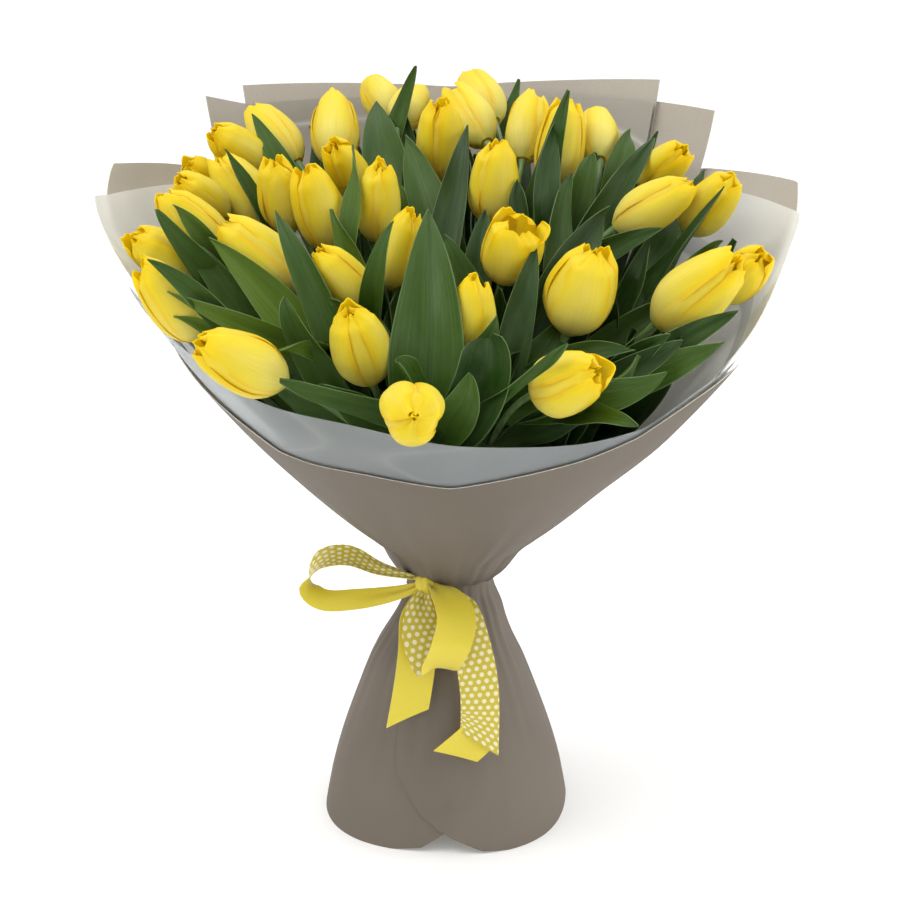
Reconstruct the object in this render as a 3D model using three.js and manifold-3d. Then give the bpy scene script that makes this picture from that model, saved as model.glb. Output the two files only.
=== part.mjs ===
// Bunch of tulips: yellow blooms on leafy stems, bound at the waist, in a wrap of film and paper tied
// with a ribbon. It stands on its cut stems and the hem of the wrap. Millimetres, +Z up, -Y to the front.

import * as THREE from "three";
import { mergeVertices } from "three/addons/utils/BufferGeometryUtils.js";
import Module from "manifold-3d";

const wasm = await Module();
wasm.setup();

const { BufferGeometry, CubicBezierCurve3, Float32BufferAttribute, MathUtils, Vector3 } = THREE;
const UP = new Vector3(0, 0, 1);
const GOLDEN_TURN = MathUtils.degToRad(137.5);

// Driving dimensions
const TIE_HEIGHT = 170;
const STEM_RADIUS = 2.5;
const STEM_SIDES = 5;
const STEM_PITCH = 5.7;
const FOOT_SPREAD = 2.75;
const FOOT_TURN = MathUtils.degToRad(-38);
const BLOOM_LENGTH = 58;
const BLOOM_SLENDERNESS = 0.265;
const PETAL_STEP = 1.3;
const DOME_CROWN = 415;
const DOME_SLOPE = 0.35;
const DOME_ROUNDNESS_DEEP = 0.0008;
const DOME_ROUNDNESS_WIDE = 0.0003;
const DOME_REACH = 260;
const LEAF_THICKNESS = 1.4;
const LEAF_CROWDING = 14;
const LEAF_FOLD = 0.34;
const LEAF_WAVE = 1.6;
const SHEET_THICKNESS = 0.7;
const SHEET_PITCH = 1.15;
const SHEET_SPLAY = 3.2;
const SHEET_WAVE = 3;
const SKIRT_WAVE = 3;
const HEM_FLARE = 13;
const HEM_FLARE_TOP = 90;
const FLARE_AT_CORNERS = 0.75;
const FLARE_AT_SIDES = 0.4;
const RIBBON_WIDTH = 25;
const RIBBON_THICKNESS = 0.8;
const GAP = 0.35;

// How the picture looks at the bunch: where a pixel of its 900 px square lies in space
const VIEW_ELEVATION = MathUtils.degToRad(20);
const VIEW_DISTANCE = 1400;
const VIEW_AIM = new Vector3(0, 0, 253);
const PIXELS_AT_UNIT_DISTANCE = VIEW_DISTANCE / 0.65;
const MIDDLE_PIXEL = 450;
const VIEW_AHEAD = new Vector3(0, Math.cos(VIEW_ELEVATION), -Math.sin(VIEW_ELEVATION));
const VIEW_UP = new Vector3(0, Math.sin(VIEW_ELEVATION), Math.cos(VIEW_ELEVATION));
const VIEW_RIGHT = new Vector3(1, 0, 0);
const EYE = VIEW_AIM.clone().addScaledVector(VIEW_AHEAD, -VIEW_DISTANCE);

const COLOURS = {
  petal: 0xf2cf1c,
  green: 0x2f5630,
  paper: 0x83796e,
  film: 0xb6bcba,
  ribbon: 0xe6d736,
  string: 0xcbb98c,
};

// Each bloom by the pixels of its tip and of its base, with its length and how far it is opened.
// "near" moves it along the line of sight towards the front, where it lolls over the rim.
const BLOOMS = [
  { tip: [248, 104], base: [298, 165] },
  { tip: [333, 89], base: [337, 166], slender: 0.285 },
  { tip: [368, 75], base: [395, 122], length: 52 },
  { tip: [420, 84], base: [400, 128], length: 50 },
  { tip: [441, 102], base: [443, 180], length: 62 },
  { tip: [451, 84], base: [486, 146] },
  { tip: [467, 68], base: [493, 126] },
  { tip: [535, 87], base: [522, 163] },
  { tip: [569, 97], base: [553, 190], length: 62 },
  { tip: [597, 106], base: [597, 165] },
  { tip: [498, 139], base: [492, 222], slender: 0.29 },
  { tip: [214, 132], base: [264, 168] },
  { tip: [215, 153], base: [271, 228] },
  { tip: [188, 164], base: [228, 202], length: 52 },
  { tip: [181, 180], base: [220, 216], length: 52 },
  { tip: [161, 192], base: [226, 255] },
  { tip: [274, 159], base: [287, 230], length: 54 },
  { tip: [306, 168], base: [333, 248], length: 60, slender: 0.275 },
  { tip: [333, 147], base: [360, 188], length: 52 },
  { tip: [381, 161], base: [375, 238], length: 54 },
  { tip: [414, 211], base: [386, 285], length: 56, slender: 0.235 },
  { tip: [218, 221], base: [302, 291], length: 64 },
  { tip: [316, 250], base: [370, 310], length: 54 },
  { tip: [134, 238], base: [191, 271] },
  { tip: [141, 262], base: [195, 336], length: 60, slender: 0.25 },
  { tip: [196, 340], base: [282, 381], length: 62, slender: 0.29 },
  { tip: [348, 306], base: [371, 380], length: 56, slender: 0.31 },
  { tip: [476, 276], base: [468, 360], length: 56, slender: 0.25 },
  { tip: [520, 222], base: [503, 278], length: 46, slender: 0.38, open: 0.6 },
  { tip: [597, 247], base: [568, 330], length: 58, slender: 0.37 },
  { tip: [694, 184], base: [617, 227] },
  { tip: [684, 150], base: [646, 182], length: 52 },
  { tip: [731, 178], base: [691, 226] },
  { tip: [740, 258], base: [659, 322], length: 68, slender: 0.285 },
  { tip: [760, 256], base: [728, 292], length: 54 },
  { tip: [602, 370], base: [538, 392], length: 54, slender: 0.35 },
  { tip: [416, 418], base: [409, 408], length: 52, slender: 0.35, near: 24 },
];

// Each leaf by the pixels of its tip and of where its blade comes out between the blooms, and its width.
// "rise" lifts its tip above the dome of blooms and "roll" turns its face away from the front.
const LEAVES = [
  { tip: [415, 66], root: [404, 130], width: 18, rise: 34 },
  { tip: [376, 99], root: [385, 185], width: 36, rise: 6 },
  { tip: [429, 212], root: [450, 385], width: 44, rise: 8 },
  { tip: [406, 137], root: [440, 228], width: 34, rise: 4 },
  { tip: [469, 122], root: [439, 238], width: 24, rise: 8 },
  { tip: [252, 114], root: [282, 168], width: 18, rise: 6 },
  { tip: [174, 205], root: [222, 246], width: 18, rise: 4 },
  { tip: [189, 242], root: [258, 310], width: 30, rise: 6 },
  { tip: [210, 238], root: [322, 332], width: 34, rise: 10 },
  { tip: [147, 259], root: [226, 300], width: 22, rise: 8 },
  { tip: [166, 293], root: [272, 334], width: 20, rise: 10 },
  { tip: [174, 316], root: [244, 334], width: 18, rise: 10, roll: 25 },
  { tip: [285, 297], root: [287, 350], width: 22, rise: 6 },
  { tip: [278, 350], root: [334, 333], width: 18, rise: 6, roll: -20 },
  { tip: [293, 333], root: [338, 380], width: 24, rise: 6 },
  { tip: [258, 381], root: [366, 418], width: 30, rise: 14, roll: -15 },
  { tip: [280, 383], root: [384, 402], width: 24, rise: 22, roll: -25 },
  { tip: [274, 207], root: [330, 328], width: 24, rise: 4 },
  { tip: [330, 209], root: [358, 268], width: 20, rise: 4 },
  { tip: [354, 146], root: [362, 252], width: 20, rise: 4 },
  { tip: [391, 219], root: [360, 284], width: 20, rise: 4 },
  { tip: [384, 262], root: [403, 385], width: 26, rise: 6, roll: 30 },
  { tip: [485, 210], root: [470, 280], width: 24, rise: 2 },
  { tip: [445, 235], root: [471, 284], width: 20, rise: 2, roll: 20 },
  { tip: [401, 185], root: [408, 216], width: 14, rise: 2 },
  { tip: [517, 180], root: [511, 226], width: 18, rise: 4 },
  { tip: [559, 113], root: [524, 218], width: 20, rise: 6 },
  { tip: [499, 95], root: [506, 140], width: 16, rise: 2 },
  { tip: [573, 172], root: [536, 236], width: 22, rise: 2 },
  { tip: [593, 153], root: [572, 200], width: 26, rise: 2 },
  { tip: [632, 126], root: [603, 194], width: 28, rise: 6 },
  { tip: [652, 139], root: [590, 220], width: 24, rise: 4 },
  { tip: [676, 147], root: [640, 188], width: 20, rise: 4, roll: 20 },
  { tip: [706, 168], root: [628, 290], width: 34, rise: 8, bow: 16 },
  { tip: [663, 228], root: [590, 247], width: 20, rise: 4, roll: -20 },
  { tip: [611, 206], root: [540, 282], width: 32, rise: 6 },
  { tip: [723, 240], root: [676, 262], width: 14, rise: 2 },
  { tip: [738, 311], root: [676, 344], width: 20, rise: 4 },
  { tip: [684, 340], root: [640, 368], width: 20, rise: 2 },
  { tip: [670, 334], root: [630, 356], width: 18, rise: 8 },
  { tip: [643, 360], root: [584, 402], width: 24, rise: 12, roll: 35 },
  { tip: [634, 345], root: [530, 366], width: 18, rise: 24, roll: -30, bow: 10 },
  { tip: [566, 350], root: [512, 396], width: 24, rise: 14 },
  { tip: [480, 345], root: [502, 418], width: 38, rise: 10 },
  { tip: [538, 247], root: [504, 344], width: 24, rise: 4 },
  { tip: [498, 315], root: [484, 362], width: 18, rise: 4 },
  { tip: [469, 373], root: [472, 424], width: 28, rise: 14 },
  { tip: [639, 427], root: [548, 428], width: 26, rise: 18, roll: -20 },
  { tip: [604, 408], root: [548, 420], width: 26, rise: 16 },
  { tip: [690, 296], root: [606, 334], width: 26, rise: 0 },
  { tip: [724, 342], root: [640, 380], width: 24, rise: 6 },
  { tip: [566, 318], root: [528, 388], width: 30, rise: 0 },
  { tip: [440, 330], root: [446, 412], width: 30, rise: 0 },
  { tip: [196, 306], root: [268, 356], width: 26, rise: 2 },
  { tip: [318, 384], root: [390, 424], width: 26, rise: 4 },
  { tip: [668, 372], root: [598, 424], width: 28, rise: 4 },
];

// Leaves at the back and the sides, where the picture doesn't look: by bearing from the front, reach from
// the middle and height of the tip
const BACK_LEAVES = [
  { bearing: 166, reach: 192, height: 462, width: 30 },
  { bearing: -168, reach: 168, height: 452, width: 26 },
  { bearing: 150, reach: 160, height: 462, width: 28 },
  { bearing: -150, reach: 176, height: 440, width: 30 },
  { bearing: 128, reach: 176, height: 440, width: 26 },
  { bearing: -126, reach: 182, height: 430, width: 26 },
  { bearing: 108, reach: 186, height: 415, width: 26 },
  { bearing: -106, reach: 186, height: 412, width: 26 },
];

// The wrap's own shape: its inner radius at each height, from the hem over the waist to the rim
const WAIST_RADIUS = 22.3;
const WALL = [
  [0, 73], [55, 64.5], [105, 49.5], [140, 30.5], [163, WAIST_RADIUS], [180, WAIST_RADIUS], [193, 44],
  [212, 69], [250, 107], [300, 148], [365, 190], [425, 216], [475, 228],
];
// Where its sides are drawn in: side (1 is the right), depth, and the heights at which that starts, is full,
// starts to end and has ended
const DRAWN_IN = [
  { side: -1, depth: 10.5, from: 181, full: 205, until: 350, end: 420 },
  { side: 1, depth: 5, from: 181, full: 205, until: 240, end: 290 },
  { side: 1, depth: 7, from: -1, full: 0, until: 110, end: 150 },
];
const BEARINGS = [
  -165, -152, -141, -120, -109, -99, -92, -78, -61, -44, -29, -14, 0, 15, 29, 43, 54, 64, 78, 91, 102,
  128, 140, 153, 166, 180,
];
const BELOW_TIE = 158;

// Each sheet by its layer, counted from the inside, and its top and bottom heights at some bearings
const SHEETS = [
  { name: "film_back", kind: "film", layer: 0,
    top: [[140, 447], [180, 441], [219, 446], [228, 456]], bottom: [[140, BELOW_TIE], [228, BELOW_TIE]] },
  { name: "paper_back", kind: "paper", layer: 1,
    top: [[140, 463], [180, 449], [219, 459]], bottom: [[140, BELOW_TIE], [219, BELOW_TIE]] },
  { name: "paper_back_right", kind: "paper", layer: 2,
    top: [[128, 449], [166, 447]], bottom: [[128, BELOW_TIE], [166, BELOW_TIE]] },
  { name: "film_left", kind: "film", layer: 2,
    top: [[-141, 394], [-120, 406], [-99, 417], [-91, 423], [-78, 398], [-61, 366], [-44, 300]],
    bottom: [[-141, BELOW_TIE], [-44, BELOW_TIE]] },
  { name: "film_right", kind: "film", layer: 3,
    top: [[54, 300], [64, 352], [78, 382], [91, 412], [102, 408], [128, 402]],
    bottom: [[54, BELOW_TIE], [128, BELOW_TIE]] },
  { name: "paper_left", kind: "paper", layer: 3,
    top: [[-194, 180], [-165, 300], [-141, 402], [-120, 420], [-106, 431], [-99, 412], [-92, 382], [-78, 345],
      [-61, 280], [-14, 200], [15, 180]],
    bottom: [[-194, 0], [-29, 0], [-14, 3], [0, 16], [15, 40]] },
  { name: "film_front", kind: "film", layer: 4,
    top: [[-78, 380], [-61, 364], [-44, 345], [-29, 336], [0, 325], [29, 315], [43, 314], [54, 335],
      [64, 350]],
    bottom: [[-78, BELOW_TIE], [64, BELOW_TIE]] },
  { name: "paper_right", kind: "paper", layer: 4,
    top: [[78, 340], [91, 388], [102, 424], [128, 413], [140, 402]],
    bottom: [[78, BELOW_TIE], [140, BELOW_TIE]] },
  { name: "paper_front", kind: "paper", layer: 5,
    top: [[-109, 322], [-92, 342], [-78, 338], [-61, 316], [-44, 297], [-29, 294], [0, 289], [29, 302],
      [43, 310], [54, 332], [64, 347], [78, 318], [102, 262], [128, 222], [166, 186], [195, 180]],
    bottom: [[-109, BELOW_TIE], [-44, BELOW_TIE], [-29, 52], [-14, 25], [0, 12], [15, 2], [29, 0],
      [195, 0]] },
];

// The ribbon: where its knot sits, and the middle line of each stretch from the knot, with its share of the
// ribbon's full width and the way that width lies
const KNOT = { at: [-15, -33, 173.5], size: [8, 7, 7.5] };
const RIBBON_RUNS = [
  { kind: "loop", share: 0.62, across: [0, 0.75, 0.66],
    points: [[-15, -34, 173], [-36, -35, 167], [-60, -37, 164], [-82, -36, 163], [-92, -31, 171],
      [-84, -26, 186], [-66, -25, 189], [-45, -28, 181], [-16, -33, 176]] },
  { kind: "loop", share: 1, across: [1, 0.12, 0],
    points: [[-13, -36, 175], [-4, -50, 174], [4, -66, 164], [0, -76, 147], [-9, -68, 129], [-18, -58, 145],
      [-19, -46, 161], [-16, -36, 171]] },
  { kind: "tail", share: 1, across: [1, 0.1, 0],
    points: [[-16, -35, 171], [-20, -46, 154], [-21, -55, 135], [-24, -61, 112], [-29, -67, 84]] },
  { kind: "tail", share: 1, across: [1, 0.1, 0],
    points: [[-13, -35, 173], [5, -51, 163], [14, -63, 141], [19, -71, 113], [19, -77, 80]] },
];

/** Turns a merged list of points and triangles into a geometry. */
function geometryFrom(points, faces) {
  const geometry = new BufferGeometry();
  geometry.setAttribute("position", new Float32BufferAttribute(points.flatMap((p) => [p.x, p.y, p.z]), 3));
  geometry.setIndex(faces.flat());
  return mergeVertices(geometry, 1e-4);
}

/** Makes a solid of a closed geometry. */
function solidFrom(geometry) {
  return new wasm.Manifold(new wasm.Mesh({
    numProp: 3,
    vertProperties: Float32Array.from(geometry.attributes.position.array),
    triVerts: Uint32Array.from(geometry.index.array),
  }));
}

/** Gives a solid back as a geometry. */
function geometryOf(solid) {
  const mesh = solid.getMesh();
  const geometry = new BufferGeometry();
  const points = [];
  for (let i = 0; i < mesh.vertProperties.length; i += mesh.numProp) {
    points.push(mesh.vertProperties[i], mesh.vertProperties[i + 1], mesh.vertProperties[i + 2]);
  }
  geometry.setAttribute("position", new Float32BufferAttribute(points, 3));
  geometry.setIndex(Array.from(mesh.triVerts));
  return geometry;
}

/** Joins solids and keeps the one body that they form, without scraps or sealed hollows. */
function fuse(solids) {
  const bodies = wasm.Manifold.union(solids).decompose();
  bodies.sort((a, b) => b.volume() - a.volume());
  return bodies[0];
}

/** Tells whether a solid keeps its gap to each of the others. */
function isClear(solid, others, gap = GAP) {
  const box = solid.boundingBox();
  return others.every((other) => {
    const near = other.boundingBox();
    const apart = [0, 1, 2].some((k) => box.min[k] > near.max[k] + gap || near.min[k] > box.max[k] + gap);
    return apart || solid.minGap(other, gap) >= gap * 0.99;
  });
}

/** Reads a list of [where, value] pairs at any place between them. */
function along(pairs, where) {
  const last = pairs.length - 1;
  if (where <= pairs[0][0]) return pairs[0][1];
  if (where >= pairs[last][0]) return pairs[last][1];
  const k = pairs.findIndex((pair) => pair[0] >= where);
  const [from, to] = [pairs[k - 1], pairs[k]];
  return MathUtils.mapLinear(where, from[0], to[0], from[1], to[1]);
}

/** Gives the line of sight through a pixel. */
function sight(pixel) {
  return VIEW_AHEAD.clone()
    .addScaledVector(VIEW_RIGHT, (pixel[0] - MIDDLE_PIXEL) / PIXELS_AT_UNIT_DISTANCE)
    .addScaledVector(VIEW_UP, (MIDDLE_PIXEL - pixel[1]) / PIXELS_AT_UNIT_DISTANCE);
}

/** Places a pixel at a given distance to the back. */
function atDepth(pixel, y) {
  const line = sight(pixel);
  return EYE.clone().addScaledVector(line, (y - EYE.y) / line.y);
}

/** Gives the height of the dome that the blooms' middles lie on. */
function domeHeight(x, y) {
  return DOME_CROWN + DOME_SLOPE * y - DOME_ROUNDNESS_DEEP * y * y - DOME_ROUNDNESS_WIDE * x * x;
}

/** Places a pixel on the dome, or the given rise above it. */
function onDome(pixel, rise = 0) {
  let near = -DOME_REACH;
  let far = DOME_REACH;
  for (let halving = 0; halving < 40; halving += 1) {
    const middle = (near + far) / 2;
    const point = atDepth(pixel, middle);
    if (point.z > domeHeight(point.x, point.y) + rise) near = middle;
    else far = middle;
  }
  return atDepth(pixel, near);
}

/** Gives a tulip's half width at a share of its height. */
function bloomRadius(share, radius, open) {
  const shape = [[0, 0.3], [0.14, 0.74], [0.3, 0.96], [0.45, 1], [0.62, 0.96], [0.8, 0.78], [1, 0.34]];
  return radius * (along(shape, share) + open * 0.5 * share * share);
}

/** Builds a bloom: three outer petals that overlap three inner ones, and a closed pointed crown. */
function bloomGeometry(length, radius, open, turn) {
  const step = MathUtils.degToRad(4);
  const rings = [0, 0.15, 0.46, 0.8, 1];
  const halfWidths = [54, 54, 52, 38, 10].map((angle) => MathUtils.degToRad(angle));
  const points = [];
  const faces = [];
  const columns = 15;
  rings.forEach((share, ring) => {
    for (let sector = 0; sector < 3; sector += 1) {
      const half = halfWidths[ring];
      const middle = turn + sector * MathUtils.degToRad(120);
      [-half - step, -half, 0, half, half + step].forEach((offset, column) => {
        const isInner = column === 0 || column === 4;
        const isRib = column === 2;
        const dip = ring === rings.length - 1 && !isRib ? 0.05 : 0;
        const reach = bloomRadius(share, radius, open) - (isInner && ring > 0 ? PETAL_STEP : 0);
        const angle = middle + offset;
        points.push(new Vector3(reach * Math.cos(angle), reach * Math.sin(angle), length * (share - dip)));
      });
    }
  });
  for (let ring = 0; ring < rings.length - 1; ring += 1) {
    for (let column = 0; column < columns; column += 1) {
      const a = ring * columns + column;
      const b = ring * columns + (column + 1) % columns;
      faces.push([a, b, b + columns], [a, b + columns, a + columns]);
    }
  }
  const foot = points.push(new Vector3(0, 0, 0)) - 1;
  const mouth = points.push(new Vector3(0, 0, length * (0.84 - 0.3 * open))) - 1;
  const top = (rings.length - 1) * columns;
  for (let column = 0; column < columns; column += 1) {
    const next = (column + 1) % columns;
    faces.push([foot, next, column], [mouth, top + column, top + next]);
  }
  return geometryFrom(points, faces);
}

/** Finds a bloom's middle and axis from its pixels, moved back along the line of sight by a shift. */
function bloomPose(bloom, shift) {
  const pixel = [(bloom.tip[0] + bloom.base[0]) / 2, (bloom.tip[1] + bloom.base[1]) / 2];
  const line = sight(pixel).normalize();
  const middle = onDome(pixel).addScaledVector(line, shift - (bloom.near ?? 0));
  const scale = middle.clone().sub(EYE).dot(VIEW_AHEAD) / PIXELS_AT_UNIT_DISTANCE;
  const across = VIEW_RIGHT.clone().multiplyScalar((bloom.tip[0] - bloom.base[0]) * scale)
    .addScaledVector(VIEW_UP, (bloom.base[1] - bloom.tip[1]) * scale);
  const length = Math.max(bloom.length ?? BLOOM_LENGTH, across.length());
  const depth = Math.sqrt(Math.max(0, length ** 2 - across.lengthSq()));
  const outward = middle.clone().sub(new Vector3(0, 0, TIE_HEIGHT));
  const side = Math.sign(outward.dot(VIEW_AHEAD)) || 1;
  const axis = across.addScaledVector(VIEW_AHEAD, side * depth).normalize();
  return { middle, axis, length, base: middle.clone().addScaledVector(axis, -length / 2) };
}

/** Gives the shifts to try along the line of sight: a little either way, and then further back. */
function bloomShifts() {
  const shifts = [0];
  for (let reach = 4; reach <= 140; reach += 4) {
    shifts.push(reach);
    if (reach <= 60) shifts.push(-reach);
  }
  return shifts;
}

/** Places the blooms from the front to the back, each moved until it is clear of the others. */
function placeBlooms(walls) {
  const order = BLOOMS.map((bloom, index) => ({ ...bloom, index }));
  order.sort((a, b) => (b.tip[1] + b.base[1]) - (a.tip[1] + a.base[1]));
  const placed = [];
  for (const bloom of order) {
    const open = bloom.open ?? 0;
    for (const shift of bloomShifts()) {
      const pose = bloomPose(bloom, shift);
      const radius = pose.length * (bloom.slender ?? BLOOM_SLENDERNESS);
      const geometry = bloomGeometry(pose.length, radius, open, bloom.index * GOLDEN_TURN);
      geometry.applyQuaternion(new THREE.Quaternion().setFromUnitVectors(UP, pose.axis));
      geometry.translate(pose.base.x, pose.base.y, pose.base.z);
      const solid = solidFrom(geometry);
      const others = placed.map((other) => other.solid);
      if (isClear(solid, [...others, ...walls])) {
        placed.push({ ...pose, index: bloom.index, geometry, solid });
        break;
      }
    }
  }
  return placed.sort((a, b) => a.index - b.index);
}

/** Gives the stems' seats at the tie: a hexagonal bundle, with the group that each seat belongs to. */
function bundleSeats() {
  const seats = [{ x: 0, y: 0, group: 0 }];
  for (let ring = 1; ring <= 3; ring += 1) {
    for (let k = 0; k < 6 * ring; k += 1) {
      const side = Math.floor(k / ring);
      const share = (k % ring) / ring;
      const from = MathUtils.degToRad(60 * side);
      const to = MathUtils.degToRad(60 * (side + 1));
      const x = ring * STEM_PITCH * MathUtils.lerp(Math.cos(from), Math.cos(to), share);
      const y = ring * STEM_PITCH * MathUtils.lerp(Math.sin(from), Math.sin(to), share);
      seats.push({ x, y, group: ring === 1 ? 0 : side + 1 });
    }
  }
  return seats;
}

/** Gives each bloom the seat that lets its stem run to it without crossing another. */
function assignSeats(blooms) {
  const seats = bundleSeats();
  const gain = (i, j) => {
    const [a, b] = [blooms[i].base, blooms[j].base];
    return (a.x - b.x) * (seats[i].x - seats[j].x) + (a.y - b.y) * (seats[i].y - seats[j].y);
  };
  let swapped = true;
  while (swapped) {
    swapped = false;
    for (let i = 0; i < seats.length; i += 1) {
      for (let j = i + 1; j < seats.length; j += 1) {
        if (gain(i, j) < -1e-6) {
          [seats[i], seats[j]] = [seats[j], seats[i]];
          swapped = true;
        }
      }
    }
  }
  return seats;
}

/** Sweeps a five-sided stem along points, its lowest end cut level. */
function stemSolid(path, endAxis) {
  const sides = STEM_SIDES;
  const points = [];
  const faces = [];
  let side = new Vector3(1, 0, 0);
  path.forEach((point, k) => {
    const before = path[Math.max(0, k - 1)];
    const after = path[Math.min(path.length - 1, k + 1)];
    const tangent = k === path.length - 1 ? endAxis : after.clone().sub(before).normalize();
    side = side.clone().addScaledVector(tangent, -side.dot(tangent)).normalize();
    const other = tangent.clone().cross(side);
    for (let s = 0; s < sides; s += 1) {
      const angle = (s / sides) * 2 * Math.PI;
      const spoke = side.clone().multiplyScalar(STEM_RADIUS * Math.cos(angle))
        .addScaledVector(other, STEM_RADIUS * Math.sin(angle));
      if (k === 0) spoke.addScaledVector(tangent, -spoke.z / tangent.z);
      points.push(point.clone().add(spoke));
    }
  });
  for (let k = 0; k < path.length - 1; k += 1) {
    for (let s = 0; s < sides; s += 1) {
      const a = k * sides + s;
      const b = k * sides + (s + 1) % sides;
      faces.push([a, b, b + sides], [a, b + sides, a + sides]);
    }
  }
  const end = (path.length - 1) * sides;
  for (let s = 1; s < sides - 1; s += 1) {
    faces.push([0, s + 1, s], [end, end + s, end + s + 1]);
  }
  return solidFrom(geometryFrom(points, faces));
}

/** Gives the points of a stem from its cut end through the tie to just below its bloom. */
function stemPath(seat, bloom, reachUp, reachBack, sideways = 0, ahead = 0) {
  const tie = new Vector3(seat.x, seat.y, TIE_HEIGHT);
  const foot = new Vector3(seat.x, seat.y, 0).applyAxisAngle(UP, FOOT_TURN).multiplyScalar(FOOT_SPREAD);
  foot.z = 0;
  const end = bloom.base.clone().addScaledVector(bloom.axis, -GAP);
  const span = end.distanceTo(tie);
  const start = end.clone().sub(tie).multiply(new Vector3(0.6, 0.6, 1));
  const lower = new CubicBezierCurve3(
    foot, foot.clone().lerp(tie, 0.36), tie.clone().addScaledVector(start, -0.1), tie);
  const detour = new Vector3(sideways, ahead, 0);
  const upper = new CubicBezierCurve3(
    tie, tie.clone().addScaledVector(start, reachUp).add(detour),
    end.clone().addScaledVector(bloom.axis, -span * reachBack).add(detour), end);
  return [...lower.getPoints(2).slice(0, -1), ...upper.getPoints(5)];
}

/** Runs a stem to each bloom, bent as far as it takes to keep clear of the other blooms and stems. */
function placeStems(blooms, seats, walls) {
  const stems = [];
  const bends = [[0.3, 0.24], [0.4, 0.16], [0.2, 0.3], [0.45, 0.3], [0.3, 0.1], [0.15, 0.2], [0.5, 0.1],
    [0.35, 0.4], [0.1, 0.1], [0.5, 0.42]];
  for (let turn = 0; turn < 24; turn += 1) {
    const reach = 6 + turn;
    const [x, y] = [reach * Math.cos(turn * GOLDEN_TURN), reach * Math.sin(turn * GOLDEN_TURN)];
    bends.push([0.3, 0.24, x, y], [0.3, 0.1, x, y], [0.2, 0.4, x, y]);
  }
  blooms.forEach((bloom, k) => {
    const obstacles = [
      ...blooms.filter((other) => other !== bloom).map((other) => other.solid),
      ...stems.filter((stem) => stem.group !== seats[k].group).map((stem) => stem.solid),
      ...walls,
    ];
    const tries = bends.map((bend) => {
      const path = stemPath(seats[k], bloom, ...bend);
      return { path, solid: stemSolid(path, bloom.axis), group: seats[k].group, bloom, leafCount: 0 };
    });
    stems.push(tries.find((stem) => isClear(stem.solid, obstacles)));
  });
  return stems;
}

/** Joins neighbouring stems of a group where the tie presses their sides flat against each other. */
function pressedSides(seats, group) {
  const [first, ...waiting] = seats.filter((seat) => seat.group === group);
  const joined = [first];
  const webs = [];
  while (waiting.length > 0) {
    const span = (a, b) => Math.hypot(a.x - b.x, a.y - b.y);
    const pairs = joined.flatMap((a) => waiting.map((b) => ({ a, b, span: span(a, b) })));
    pairs.sort((one, other) => one.span - other.span);
    const { a, b } = pairs[0];
    joined.push(b);
    waiting.splice(waiting.indexOf(b), 1);
    const web = new THREE.BoxGeometry(span(a, b), STEM_RADIUS * 0.6, 4);
    web.rotateZ(Math.atan2(b.y - a.y, b.x - a.x));
    web.translate((a.x + b.x) / 2, (a.y + b.y) / 2, TIE_HEIGHT);
    web.deleteAttribute("normal");
    web.deleteAttribute("uv");
    webs.push(solidFrom(mergeVertices(web)));
  }
  return webs;
}

/** Builds a blade along a curve: folded at the rib, waved at the edges, its face turned to a normal. */
function leafSolid(curve, width, facing, wave) {
  const shares = [0.12, 0.36, 0.62, 0.85];
  const widths = [0.36, 0.88, 1, 0.56];
  const points = [curve.getPoint(0)];
  const faces = [];
  shares.forEach((share, k) => {
    const middle = curve.getPoint(share);
    const tangent = curve.getTangent(share);
    const normal = facing.clone().addScaledVector(tangent, -facing.dot(tangent)).normalize();
    const across = tangent.clone().cross(normal);
    const half = (width * widths[k]) / 2;
    const lift = half * LEAF_FOLD;
    const ripple = wave * Math.sin(k * 2.1);
    const edge = (side, more) => middle.clone().addScaledVector(across, side * half)
      .addScaledVector(normal, lift + more);
    points.push(edge(-1, ripple), middle.clone().addScaledVector(normal, LEAF_THICKNESS / 2),
      edge(1, -ripple), middle.clone().addScaledVector(normal, -LEAF_THICKNESS / 2));
  });
  points.push(curve.getPoint(1));
  const ring = (k, corner) => 1 + k * 4 + (corner % 4);
  for (let corner = 0; corner < 4; corner += 1) {
    faces.push([0, ring(0, corner + 1), ring(0, corner)]);
    for (let k = 0; k < shares.length - 1; k += 1) {
      const [a, b] = [ring(k, corner), ring(k, corner + 1)];
      const [c, d] = [ring(k + 1, corner + 1), ring(k + 1, corner)];
      faces.push(corner % 2 ? [a, b, d] : [a, b, c], corner % 2 ? [b, c, d] : [a, c, d]);
    }
    faces.push([ring(shares.length - 1, corner), ring(shares.length - 1, corner + 1), points.length - 1]);
  }
  return solidFrom(geometryFrom(points, faces));
}

/** Finds the stem, and the point on it, that a blade can grow from: near its place, and not crowded. */
function leafSeat(stems, below) {
  let best = null;
  stems.forEach((stem, k) => {
    stem.path.slice(3, 6).forEach((point) => {
      const cost = point.distanceTo(below) + LEAF_CROWDING * stem.leafCount;
      if (!best || cost < best.cost) best = { cost, point, k };
    });
  });
  return best;
}

/** Gives the ways to move a leaf that is in the way: along the line of sight, and turned on its rib. */
function leafNudges() {
  const nudges = [];
  for (const roll of [0, 25, -25, 50, -50, 75, -75, 90]) {
    for (const shift of [0, -7, 7, -14, 14, -21, 21, -30, 30, 40, 50, 60]) nudges.push({ roll, shift });
  }
  const cost = (nudge) => Math.abs(nudge.shift) + 0.4 * Math.abs(nudge.roll);
  nudges.sort((a, b) => cost(a) - cost(b));
  const sways = [[1, 0], [0.8, 0], [0.8, 7], [0.8, -7], [0.65, 0], [0.65, 14], [0.65, -14]];
  return sways.flatMap(([share, sway]) => nudges.map((nudge) => ({ ...nudge, share, sway })));
}

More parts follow.
